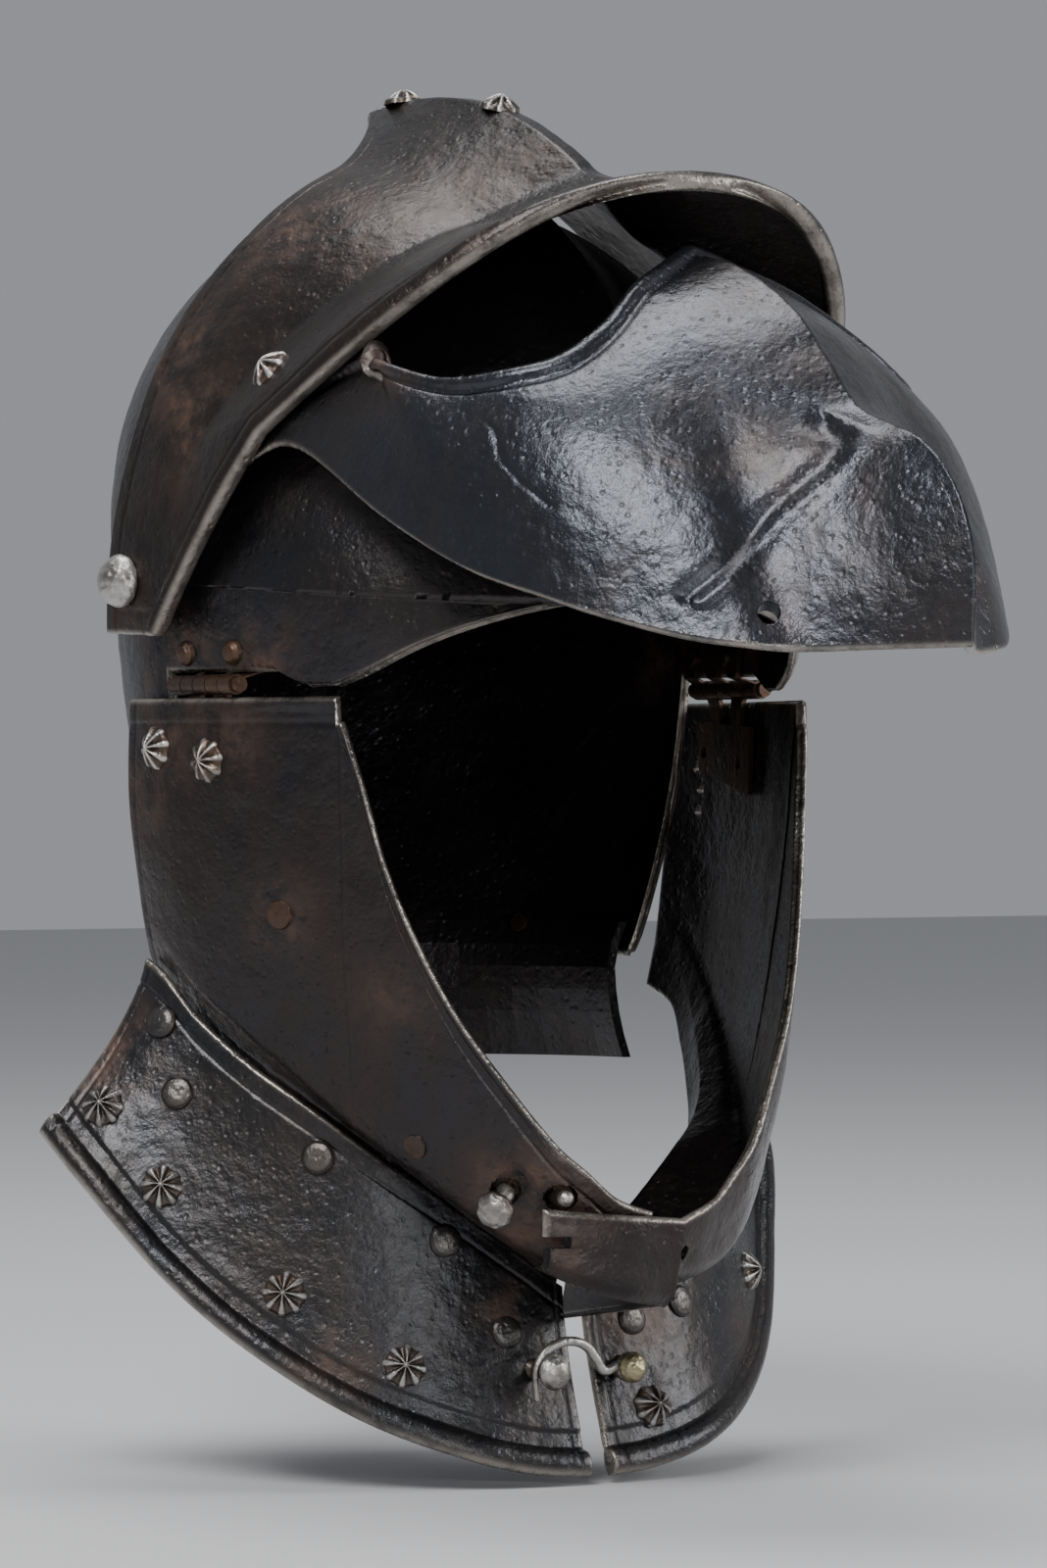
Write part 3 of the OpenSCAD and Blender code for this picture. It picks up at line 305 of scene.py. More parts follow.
def iron(name, dark, brown, brown_part, rough, rust, bare=grey_metal):
    # One finish of the helmet: the skin with its own colours, under a thin coat of wax
    mat = bpy.data.materials.new(name)
    mat.use_nodes = True
    tree = mat.node_tree
    surface = tree.nodes["Principled BSDF"]
    skin = tree.nodes.new("ShaderNodeGroup")
    skin.node_tree = skin_group
    for label, colour in (("Dark", dark), ("Brown", brown), ("Bare", bare), ("Rusty", rust_brown)):
        skin.inputs[label].default_value = (*colour, 1)
    for label, value in (("Brown Part", brown_part), ("Rust", rust), ("Rough", rough)):
        skin.inputs[label].default_value = value
    bump = tree.nodes.new("ShaderNodeBump")
    bump.inputs["Strength"].default_value = 0.55
    bump.inputs["Distance"].default_value = 0.0011
    tree.links.new(skin.outputs["Height"], bump.inputs["Height"])
    tree.links.new(bump.outputs["Normal"], surface.inputs["Normal"])
    tree.links.new(skin.outputs["Color"], surface.inputs["Base Color"])
    tree.links.new(skin.outputs["Metallic"], surface.inputs["Metallic"])
    tree.links.new(skin.outputs["Roughness"], surface.inputs["Roughness"])
    surface.inputs["Coat Weight"].default_value = 0.22
    surface.inputs["Coat Roughness"].default_value = 0.28
    return mat


skull_wide = 88
skull_thick = 3
crest_rows = 200
skull_reach = [[-90, 160], [-56, 140], [-24, 130], [-12, 122], [-4, 116.5], [8, 112], [20, 109], [45, 107], [90, 108],
               [105, 110.5], [120, 113.5], [135, 114], [150, 111.5], [165, 106], [180, 101], [207, 103], [236, 120],
               [270, 160], [304, 140], [336, 130], [348, 122], [356, 116.5]]
skull_square = [[-90, 2], [-24, 2.05], [-4, 2.3], [20, 2.1], [90, 2], [130, 1.8], [180, 1.6], [236, 1.75], [270, 2],
                [336, 2.05], [356, 2.3]]
brow_edge = [[336.5, 72.5], [342, 80.5], [347.7, 89.5], [352, 99], [356, 110]]


def skull_half(inset):
    # Points of one half, from the pivot outward to the crest or the lower edge, by degrees round the pivots
    a = np.concatenate([np.linspace(-4, 234.5, crest_rows), np.linspace(235.2, 273, 60),
                        [273.5, 273.8, 274.4, 275.2, 276.5, 278, 280.5, 283.7],
                        np.linspace(284.2, 333.7, 50), np.linspace(334.1, 336.4, 4), np.linspace(337, 355.6, 34), [356]])
    crest = np.arange(len(a)) < crest_rows
    sa = np.maximum(np.abs(sin_d(a)), 0.1)
    nape_edge = 102 / sa
    step_edge = 6 / np.maximum(cos_d(a), 0.05)
    hinge_edge = 24.5 / sa
    corner_edge = 28.5 / sa
    edge = np.select([a < 273.5, a < 283.8, a < 334, a < 336.5], [nape_edge, step_edge, hinge_edge, corner_edge],
                     curve(brow_edge, a))
    n = curve(skull_square, a)
    base = curve(skull_reach, a) - inset
    end = np.where(crest, 90, np.degrees(np.arcsin(np.clip(edge / base, 0, 1) ** (n / 2))))
    j = 1 - (1 - np.linspace(0, 1, 90)) ** 1.5
    q = end[:, None] * j[None, :]
    n2 = n[:, None]
    x = (skull_wide - inset) * np.maximum(cos_d(q), 0) ** (2 / n2)
    x[crest, -1] = 0
    rise = ease((a + 30) / 60) * ease((262 - a) / 60) * crest
    back = (ease((a - 95) / 25) * ease((185 - a) / 40))[:, None]
    comb = 8 * (1 + 0.6 * back) * np.maximum(0, 1 - x / (17 + 6 * back)) ** 1.3 * rise[:, None]
    rho = base[:, None] * sin_d(q) ** (2 / n2) + comb
    return np.stack([x, -rho * cos_d(a)[:, None], rho * sin_d(a)[:, None]], -1), crest


skull_iron = iron("skull_iron", (0.03, 0.03, 0.035), (0.04, 0.033, 0.03), 0.5, 0.31, rust=0.35)
halves = []
for side in (-1, 1):
    out, on_crest = skull_half(0)
    into, _ = skull_half(skull_thick)
    out[..., 0] *= side
    into[..., 0] *= side
    lower = np.where(on_crest[:, None], 99.0, border_distances(out)[3])
    lost = rounded(lower, skull_thick / 2)
    n = normals(out, side)
    bumps = hammered(out, 3) * ease(lower / 4) * ease(np.abs(out[..., 0]) / 3)
    rust = near(out, [(88 * side, -25, -26, 16), (82 * side, -45, -24, 12), (88 * side, -8, -14, 9),
                      (86 * side, 5, -20, 10)]).ravel()
    out = out + n * (bumps - lost)[..., None]
    into = into + n * (bumps * 0.8 + lost)[..., None]
    nu, nv = out.shape[:2]
    a = np.arange(nu * nv).reshape(nu, nv)
    b = a + nu * nv
    a2 = np.roll(a, -1, axis=0)
    b2 = np.roll(b, -1, axis=0)
    rim = np.arange(crest_rows - 1, nu)
    quads = [(a[:, :-1], a[:, 1:], a2[:, 1:], a2[:, :-1]), (b[:, :-1], b2[:, :-1], b2[:, 1:], b[:, 1:]),
             (a[rim, -1], b[rim, -1], b2[rim, -1], a2[rim, -1])]
    faces = np.concatenate([np.stack(quad, -1).reshape(-1, 4) for quad in quads]) + len(halves) * 2 * nu * nv
    halves.append((np.concatenate([out.reshape(-1, 3), into.reshape(-1, 3)]), faces,
                   np.tile(np.exp(-lower / 1.8).ravel(), 2), np.tile(rust, 2)))
points, faces, wear, rust = [np.concatenate(part) for part in zip(*halves)]
skull = mesh_object("skull_plate", points, faces, {"wear": wear, "rust": rust})
skull.data.materials.append(skull_iron)
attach(skull, "skull")
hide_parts("skull")

# Nape plate. A bent strip of iron riveted inside the skull's rear lower edge, turned outward below.
# It closes the gap over the neck between the two cheekpieces.
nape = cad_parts["nape_plate"]
nape_iron = iron("nape_iron", (0.035, 0.034, 0.038), (0.042, 0.034, 0.03), 0.4, 0.34, rust=0.35)
nape.data.materials.clear()
nape.data.materials.append(nape_iron)

# Brow plate. A domed plate with a high comb, turned on the same pivots as the visor.
# Its front flares out into a wide peak, and the rim is turned over an edge and filed round.


peak_wide = 96.6
peak_reach = 120
peak_bend = 56
peak_lip = 38.4


def peak_round(q, a):
    # A point of the plate, q degrees up from the pivots' line and a degrees round it
    s = np.clip((peak_bend - a) / (peak_bend - peak_lip), 0, 1.25)
    s1 = np.minimum(1, s)
    base = peak_reach + 47 * s1 ** 1.5
    n = 2 + 0.15 * ease(s)
    x = peak_wide * np.maximum(cos_d(q), 0) ** (2 / n)
    x = np.where(q >= 89.99, 0, x)
    comb = 14.5 * (1 - s1) * np.maximum(0, 1 - np.maximum(0, x - 2.5) / 28) ** 1.6
    rho = base * np.maximum(sin_d(q), 0) ** (2 / n) + comb
    return np.stack([x, -rho * cos_d(a), rho * sin_d(a)], -1)


def peak_front(q):
    return peak_lip - 5.5 * cos_d(q) ** 2


def peak_rear(q):
    return 88.5 + 16 * np.maximum(0, 1 - q / 52) ** 1.2 + 13.5 * np.maximum(0, (q - 66) / 24) ** 2


v = crowded(150)[None, :]
first = 22.0
a_edge = peak_front(first) + (peak_rear(first) - peak_front(first)) * v
p0 = peak_round(np.full_like(a_edge, first), a_edge)
foot_y = -15 + 27 * v
foot_z = -15 + 1 * v
uu = crowded(60, 0.5)[:, None]
y = foot_y + (p0[..., 1] - foot_y) * uu
z = foot_z + (p0[..., 2] - foot_z) * uu
fall = (1 - p0[..., 0] / peak_wide) / (p0[..., 1] ** 2 + p0[..., 2] ** 2)
ear = np.stack([peak_wide * (1 - fall * (y * y + z * z)), y, z], -1)
q = np.linspace(first, 90, 190)[1:, None]
dome = peak_round(q + 0 * v, peak_front(q) + (peak_rear(q) - peak_front(q)) * v)
half = np.concatenate([ear, dome])
mirror = np.array([-1, 1, 1])
whole = np.concatenate([half * mirror, half[-2::-1]])


def peak_relief(foot_a, foot_b, front, rear):
    # Turned front rim, with a filed line beside it and a border line at the rear edge and the feet
    foot = np.minimum(foot_a, foot_b)
    roll = 1.5 * np.sqrt(np.maximum(0, 1 - ((front - 2.8) / 3.0) ** 2))
    line = -0.4 * np.exp(-((front - 7.2) / 0.7) ** 2) - 0.32 * np.exp(-((rear - 6.5) / 0.6) ** 2)
    return roll + line - 0.32 * np.exp(-((foot - 6.5) / 0.6) ** 2) * (front > 8) * (rear > 7)


peak_iron = iron("peak_iron", (0.026, 0.024, 0.025), (0.042, 0.031, 0.026), 0.7, 0.31, rust=0.5)
peak = shell("peak_plate", whole, 3.2, 1, 11, peak_relief,
             [(-88, -22, 40, 16), (-84, -8, 62, 14), (-60, -20, 98, 18), (-92, 0, -8, 9), (88, -22, 40, 14),
              (60, -20, 98, 18), (-78, -56, 40, 8)])
peak.data.materials.append(peak_iron)
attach(peak, "peak")
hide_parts("peak")

# Visor. One plate drawn to a sharp keel in front, with a nasal between two scalloped sights.
# The sight rims are turned over; a crease and an old crack cross each cheek of the plate.
visor_top = [[0, 121, 85], [12, 127, 79.6], [24, 132.5, 73], [38, 138.5, 62.6], [52, 138, 53.6], [64, 129, 49.6],
             [72, 112, 48.4], [77.5, 92.5, 54], [72.6, 82, 58.5], [76, 64, 52.5], [83, 44, 44], [86.6, 23, 34],
             [91, 6, 17], [91.9, -7, 11], [92, -11, 2]]
visor_low = [[0, 242, -20.5], [10, 228, -21], [27, 211, -21], [41, 203, -20], [52, 192, -18], [64, 176, -13],
             [72, 161, -8], [80, 136, 0], [85, 106, 14], [86, 68, 33], [87, 48, 31.5], [88.8, 30, 19], [91, 17, 0],
             [91.8, 3, -12], [92, -8, -8]]
keel = np.array([[0, 121, 85], [0.16, 146, 79], [0.3, 168, 67.5], [0.42, 182, 54], [0.52, 194, 42], [0.62, 208, 36.5],
                 [0.72, 222, 31.5], [0.82, 235, 20], [0.91, 242, 3], [1, 242, -20.5]], float)
swell = [[0, 26], [2, 14], [4, 10], [6, 8], [8, 5], [10, 1], [14, 0]]
visor_thick = 3.0
ear_thick = 2.4
last_station = 14
down = crowded(130, 0.75)
along_visor = np.concatenate([np.linspace(0, 8, 201), np.linspace(8, last_station, 61)[1:]])


def between(k):
    # One station of the plate, from its top edge to its lower edge, swelling outward on the way
    high = np.array(visor_top[k], float)
    foot = np.array(visor_low[k], float)
    outward = np.array([0.35, 0.45, 0.8])
    outward = outward / np.linalg.norm(outward)
    bulge = curve(swell, k) * sin_d(180 * down ** 0.8)
    return high + (foot - high) * down[:, None] + outward * bulge[:, None]


ridge = np.stack([np.zeros_like(down), curve(keel[:, [0, 1]], down), curve(keel[:, [0, 2]], down)], -1)
beside_ridge = (ridge * 0.48 + between(2) * 0.52) * 0.85 + between(1) * 0.15
rows = np.array([ridge, beside_ridge] + [between(k) for k in range(2, last_station + 1)])
visor_half = np.empty((len(along_visor), len(down), 3))
for j in range(len(down)):
    for k in range(3):
        visor_half[:, j, k] = curve(np.stack([np.arange(last_station + 1), rows[:, j, k]], 1), along_visor)
visor_half[..., 1] *= -1
visor_grid = np.concatenate([(visor_half * mirror)[::-1], visor_half[1:]])


station_mm = 9.5
drop_mm = 112
across_mm = np.concatenate([-along_visor[::-1], along_visor[1:]])[:, None] * station_mm + 0 * down[None, :]
down_mm = down[None, :] * drop_mm + 0 * across_mm
fold_path = [(0.5, 0.56), (0.48, 0.627), (0.8, 0.665), (1.16, 0.69), (1.76, 0.726), (2.36, 0.781), (3.56, 0.886)]
left_fold_path = [(0.9, 0.6), (1.5, 0.68), (2.4, 0.78)]
crack_path = [(5.7, 0.3), (5.64, 0.335), (5.8, 0.48), (5.64, 0.561), (5.32, 0.64)]


def beside(path, way):
    # Distance in mm from a path of (station, share of the drop) on one half of the visor, and which side of it
    best = np.full(across_mm.shape, 99.0)
    side = np.zeros(across_mm.shape)
    marks = [(x * station_mm, y * drop_mm) for x, y in path]
    for (x0, y0), (x1, y1) in zip(marks[:-1], marks[1:]):
        dx, dy = x1 - x0, y1 - y0
        t = np.clip(((way * across_mm - x0) * dx + (down_mm - y0) * dy) / (dx * dx + dy * dy), 0, 1)
        off_x, off_y = way * across_mm - x0 - t * dx, down_mm - y0 - t * dy
        d = np.hypot(off_x, off_y)
        side = np.where(d < best, np.sign(off_x * dy - off_y * dx), side)
        best = np.minimum(d, best)
    return best, side


def visor_relief(end_a, end_b, upper, lower):
    fold = np.multiply(*beside(fold_path, -1))
    left_fold = np.multiply(*beside(left_fold_path, 1))
    folds = (-1.5 * np.exp(-((fold - 1.6) / 1.7) ** 2) + 0.9 * np.exp(-((fold + 1.2) / 1.5) ** 2)
             - 0.8 * np.exp(-((left_fold - 1.2) / 1.6) ** 2) + 0.4 * np.exp(-((left_fold + 1.0) / 1.5) ** 2))
    crack = -0.5 * np.exp(-(beside(crack_path, -1)[0] / 0.45) ** 2)
    hollow = -1.6 * np.exp(-((np.abs(across_mm) - 9) / 5) ** 2) * ease((down_mm - 66) / 12) * ease((108 - down_mm) / 14)
    sight = ease((np.minimum(end_a, end_b) - 60) / 20)
    roll = 2.2 * np.sqrt(np.maximum(0, 1 - ((upper - 2.7) / 3.1) ** 2)) - 0.7 * np.exp(-((upper - 7.4) / 1.4) ** 2)
    return folds + crack + hollow + roll * sight


visor_iron = iron("visor_iron", (0.045, 0.048, 0.058), (0.05, 0.043, 0.042), 0.35, 0.27, rust=0.15)
station = np.abs(np.linspace(-last_station, last_station, len(visor_grid)))[:, None]
visor = shell("visor_plate", visor_grid, visor_thick - (visor_thick - ear_thick) * ease((station - 9.5) / 1.5), -1, 23,
              visor_relief, [(-78, -95, 50, 9), (-30, -198, -18, 7)])
visor.data.materials.append(visor_iron)
bore(visor, [round_tool((-31.5, -197, -18), (-0.242, -0.637, 0.732), 5.8, depth=15)])
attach(visor, "visor")
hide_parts("visor")

# Cheekpieces. Two plates hinged at their top edges, bowled under the chin and drawn in at the throat.
# The left one carries a chin strap of the same plate across the front, split into two tabs at its end.
cheek_thick = 3.0
neck_back = 10
strap_top = -168
hinge_edge = -31.5
front_top_z = [[0, strap_top], [8, -163], [13.2, -156], [18.3, -148], [25.3, -132], [32.6, -114], [38.4, -95],
               [43.4, -74], [46.6, -54], [49.6, -38]]
top_r = [[0, 108.5], [8, 107], [18, 105], [25, 103], [33, 102], [43, 100.5], [50, 100], [60, 95.4], [70, 92.8],
         [80, 91.6], [90, 92], [101, 92.6]]
bowl_r = [[0, 97], [10, 97], [20, 95], [30, 91], [40, 87], [50, 85], [60, 84], [75, 85], [85, 87], [101, 89.5]]
bowl_z = [[0, -187], [10, -184], [20, -177], [30, -166], [40, -154], [50, -142], [60, -131], [75, -115], [85, -103],
          [101, -84]]
throat_r = [[0, 58], [10, 59], [20, 60.5], [30, 63], [40, 66], [50, 69.5], [60, 73], [75, 77.5], [85, 82],
            [92, 85.5], [101, 87]]
throat_z = [[0, -187], [10, -181], [20, -174], [30, -166], [40, -158], [50, -150], [60, -141], [75, -127.5],
            [85, -116], [92, -105], [101, -99]]
strap_off = [[-24, 3.5], [-21, 3.2], [-10, 2.4], [-3, 1.5], [4, 0.8], [12, 0], [101, 0]]
levels = [0, 0.34, 0.68, 0.85, 1]


def round_neck(psi, r, z):
    # A point at psi degrees from the front, r mm from the neck's middle line
    return np.stack([-r * sin_d(psi), -neck_back - r * cos_d(psi), z], -1)


def down_the_cheek(k, vals):
    # Smooth value at share k from the top edge to the throat, through the five levels
    value = np.zeros_like(k)
    slopes = [(vals[1] - vals[0]) / 0.34]
    slopes += [(vals[i + 1] - vals[i - 1]) / (levels[i + 1] - levels[i - 1]) for i in (1, 2, 3)]
    slopes += [(vals[4] - vals[3]) / 0.15]
    for i in range(4):
        h = levels[i + 1] - levels[i]
        t = np.clip((k - levels[i]) / h, 0, 1)
        w = 1 - t
        part = (vals[i] * w * w * (1 + 2 * t) + vals[i + 1] * t * t * (3 - 2 * t)
                + slopes[i] * h * t * w * w - slopes[i + 1] * h * t * t * w)
        value = np.where((k >= levels[i]) & (k <= levels[i + 1] + 1e-9), part, value)
    return value


def cheek_at(psi, u, lift=0.0, inset=0.0):
    # A point of the right cheekpiece: u is 0 at its top edge and 1 at the throat, psi < 0 is the chin strap
    psi, u = np.broadcast_arrays(np.asarray(psi, float), np.asarray(u, float))
    a = np.abs(psi)
    crossing = psi < 0
    tz = np.where(crossing, strap_top + 3.5 * (-psi / 21), np.where(psi >= 50.4, hinge_edge, curve(front_top_z, psi)))
    tr = curve(top_r, a)
    br = curve(bowl_r, a) + (3 + 2.5 * ease(-psi / 9)) * crossing
    bz = np.minimum(curve(bowl_z, a), tz - 4) - 4.5 * crossing
    sr = curve(throat_r, a)
    sz = curve(throat_z, a)
    mr = tr + (br - tr) * 0.42 + 1.5
    mz = (tz + bz) / 2
    shown = np.where(crossing, u * 0.6, u)
    k = np.minimum(shown, 1)
    rr = down_the_cheek(k, [tr, mr, br, br + (sr - br) * 0.45, sr])
    zz = down_the_cheek(k, [tz, mz, bz, (bz + sz) / 2 - 2.4 * ease((60 - a) / 40), sz])
    over = np.maximum(0, shown - 1)
    in_z = 1 - ease((a - 40) / 20)
    lift = lift * np.where(crossing, 1, 1 - ease((k - 0.45) / 0.4))
    under = np.where(shown > 1, 0, inset * 0.9 * in_z * ease((k - 0.5) / 0.3))
    return round_neck(psi, rr + lift - inset - over * 22, zz - over * 12 / 0.16 + under)


def cheek_relief(front, rear, upper, lower):
    # Turned front edge, with filed lines beside the top and rear edges
    turned_edge = 0.9 * np.sqrt(np.maximum(0, 1 - ((upper - 1.6) / 1.9) ** 2))
    return (turned_edge * ease((rear - 52) / 12) * ease((front - 38) / 12)
            - 0.35 * np.exp(-((upper - 6.8) / 0.6) ** 2) - 0.3 * np.exp(-((rear - 5) / 0.6) ** 2))


us = 1.16 * crowded(120, 0.7)[None, :]
right_psi = np.concatenate([np.linspace(2.2, 44, 120), np.linspace(44.3, 50.35, 30), np.linspace(50.45, 101, 110)])
tuck = -4 * ease((14 - right_psi) / 9)[:, None]
cheek_iron = iron("cheek_iron", (0.028, 0.026, 0.028), (0.038, 0.028, 0.025), 0.6, 0.28, rust=0.5)
cheek_right = shell("cheek_right_plate", cheek_at(right_psi[:, None], us, tuck), cheek_thick, 1, 31, cheek_relief,
                    [(-91, -10, -40, 14), (-86, -36, -42, 12), (-92, 0, -60, 9), (-82, -52, -89, 10),
                     (-40, -100, -160, 11), (-31, -108, -162, 9), (-60, -78, -110, 10), (-36, -104, -172, 12)],
                    cheek_at(right_psi[:, None], us, tuck, cheek_thick))
cheek_right.data.materials.append(cheek_iron)
bore(cheek_right, [round_tool((-30.4, -108.6, -162), (-0.24, -0.97, 0), 6.4, 0.9),
                   round_tool((-41.6, -99.3, -160.2), (-0.42, -0.9, -0.1), 6.4, 0.6)])
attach(cheek_right, "cheek_right")
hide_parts("cheek_right")

left_psi = np.concatenate([np.linspace(-21, 0, 60)[:-1], [-0.01], right_psi])
stand_off = (1.25 + 0.22 * 6) * curve(strap_off, left_psi)[:, None]
cheek_left = shell("cheek_left_plate", cheek_at(left_psi[:, None], us, stand_off) * mirror, cheek_thick, -1, 37, None,
                   [(-37, -113, -176, 8), (70, -60, -70, 10), (80, -20, -40, 12), (66, -75, -120, 10)],
                   cheek_at(left_psi[:, None], us, stand_off, cheek_thick) * mirror)
cheek_left.data.materials.append(cheek_iron)
bore(cheek_left, [round_tool(cheek_at(p, a) * mirror, (1, 0.02, 0), 3.4) for p, a in ((92.5, 0.2), (91.5, 0.26), (92, 0.33))]
     + [round_tool((1.5, -116, -177), (0, 1, 0), 4), box_tool((-48, -135, -174.6), (-33.5, -85, -171.6)),
        box_tool((-48, -135, -195), (-38.5, -85, -174))])
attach(cheek_left, "cheek_left")
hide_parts("cheek_left")

# Gorget. Two flared plates riveted round the throat of the cheekpieces, meeting in the middle.
# The lower rim is rolled outward over a wire, with a sunken band beside it.
gorget_thick = 2.6
rim_r = [[0, 74.5], [15, 76], [29, 80], [50, 84], [69, 92.5], [81.5, 102], [91.6, 114], [99, 120.5]]
rim_z = [[0, -238], [15, -236.5], [29, -232], [50, -221], [69, -203], [81.5, -184.5], [91.6, -161], [99, -146]]


def gorget_at(psi, t):
    # A point of the right half: t is 0 at the throat and 1 at the rim
    psi, t = np.broadcast_arrays(np.asarray(psi, float), np.asarray(t, float))
    a = np.minimum(np.abs(psi), 99)
    sr = curve(throat_r, a) + 3.0
    sz = curve(throat_z, a) - 0.6 - 1.4 * ease((65 - a) / 30) - ease((16 - a) / 10)
    return round_neck(psi, sr + (curve(rim_r, a) - sr) * t ** 1.45, sz + (curve(rim_z, a) - sz) * t)


def gorget_relief(front, rear, upper, rim):
    # Rolled rim with its sunken band, and filed lines along the other edges
    roll = 2.2 * np.sqrt(np.maximum(0, 1 - ((rim - 3.4) / 3.5) ** 2))
    band = -0.7 * ease((rim - 7.0) / 0.8) * ease((12.6 - rim) / 0.8)
    ends = np.minimum(front, rear)
    return roll + band - 0.35 * np.exp(-((upper - 6.5) / 0.6) ** 2) - 0.3 * np.exp(-((ends - 4) / 0.6) ** 2)


gorget_iron = iron("gorget_iron", (0.036, 0.037, 0.041), (0.042, 0.036, 0.033), 0.45, 0.28, rust=0.3)
gorget_right_grid = gorget_at((2.7 + 95.8 * crowded(230, 0.6))[:, None], crowded(150, 0.8)[None, :])
for name, body, way, seed in (("gorget_right", "cheek_right", 1, 41), ("gorget_left", "cheek_left", -1, 43)):
    spots = [(-108 * way, -2, -128, 12), (-100 * way, 0, -118, 10), (-22 * way, -72, -196, 9), (-70 * way, -60, -205, 9)]
    gorget = shell(name + "_plate", gorget_right_grid * np.array([way, 1, 1]), gorget_thick, way, seed, gorget_relief, spots)
    gorget.data.materials.append(gorget_iron)
    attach(gorget, body)
    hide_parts(name)

# Rosettes. Bright iron rivet heads struck with eight rays, dark in the hollows between them.
# They fix the hinges' lower leaves, and stand alone along the gorget's rim and on the brow plate.
bright_iron = iron("bright_iron", (0.06, 0.055, 0.052), (0.09, 0.06, 0.042), 0.5, 0.3, rust=0.3, bare=(0.5, 0.48, 0.45))
rosette_size = 6.0


def across(n):
    # Two directions square to n and to each other
    side = np.cross(n, [0.3, 0.2, 0.9])
    side /= np.linalg.norm(side)
    return side, np.cross(n, side)


def ring_faces(rows, count):
    # Faces of a surface of revolution with its rows from the middle outward
    here = np.arange(rows * count).reshape(rows, count)
    after = np.roll(here, -1, axis=1)
    return np.stack([here[:-1], here[1:], after[1:], after[:-1]], -1).reshape(-1, 4)


def rosette(point, normal, seed):
    # One head with eight rays, standing on its plate: points, faces, wear and rust
    rng = np.random.default_rng(seed)
    point = np.array(point, float)
    n = np.array(normal, float) / np.linalg.norm(normal)
    side, up = across(n)
    rad = np.linspace(0, 1, 22)[:, None]
    th = np.linspace(0, 2 * np.pi, 129)[None, :-1] + rng.uniform(0, 1)
    ray = 1 - (1 - np.abs(np.cos(4 * th)) ** 2.2) * ease(rad / 0.35)
    height = 3.3 * (1 - rad ** 1.7) * (0.5 + 0.5 * ray) + 0.4 * (rad < 0.99)
    reach = rosette_size * rad * (0.9 + 0.1 * ray * rad) * (1 + 0.02 * rng.normal())
    pts = (point + n * (height[..., None] + 0.05) + side * (reach * np.cos(th))[..., None]
           + up * (reach * np.sin(th))[..., None])
    pts[-1] -= n * 0.55
    return pts.reshape(-1, 3), ring_faces(22, 128), (ray ** 2).ravel(), ((1 - ray) * 0.35 + 0.5 * (rad > 0.93)).ravel()


def joined(name, parts):
    # One object from several heads or wires
    starts = np.cumsum([0] + [len(part[0]) for part in parts])
    points, wear, rust = [np.concatenate([part[k] for part in parts]) for k in (0, 2, 3)]
    faces = np.concatenate([part[1] + start for part, start in zip(parts, starts)])
    return mesh_object(name, points, faces, {"wear": wear, "rust": rust})


def on_plate(plate_at, a, b, step_b, way, flip):
    # Place and outward direction on a plate's right (1) or left (-1) half
    p = plate_at(a, b)
    n = np.cross(plate_at(a + 1, b) - p, plate_at(a, b + step_b) - p) * flip
    half = np.array([way, 1, 1])
    return p * half, n / np.linalg.norm(n) * half


def peak_at(q, a):
    return peak_round(np.array(q, float), np.array(a, float))


crest_height = 134.5
peak_marks = [on_plate(peak_at, 33, 49, 1, way, -1) for way in (1, -1)]
peak_marks += [(np.array([0, -crest_height * cos_d(a), crest_height * sin_d(a)]), np.array([0, -cos_d(a), sin_d(a)]))
               for a in (94, 74)]
right_hinge_marks = [on_plate(cheek_at, a, 0.14, 0.02, 1, 1) for a in (91, 77.5)]
left_hinge_marks = [on_plate(cheek_at, a, 0.14, 0.02, -1, 1) for a in (88, 75)]
right_rim_marks = [on_plate(gorget_at, a, b, 0.05, 1, 1) for a, b in ((94, 0.7), (84.5, 0.72), (64, 0.72), (42, 0.73))]
left_rim_marks = [on_plate(gorget_at, a, b, 0.05, -1, 1) for a, b in ((94, 0.7), (84.5, 0.72), (64, 0.72), (17, 0.74))]
for k, (name, body, marks) in enumerate((("peak_rosettes", "peak", peak_marks),
                                         ("hinge_rosettes_right", "cheek_right", right_hinge_marks),
                                         ("hinge_rosettes_left", "cheek_left", left_hinge_marks),
                                         ("gorget_rosettes_right", "cheek_right", right_rim_marks),
                                         ("gorget_rosettes_left", "cheek_left", left_rim_marks))):
    heads = joined(name + "_heads", [rosette(p, n, 10 * k + i) for i, (p, n) in enumerate(marks)])
    heads.data.materials.append(bright_iron)
    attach(heads, body)
    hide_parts(name)

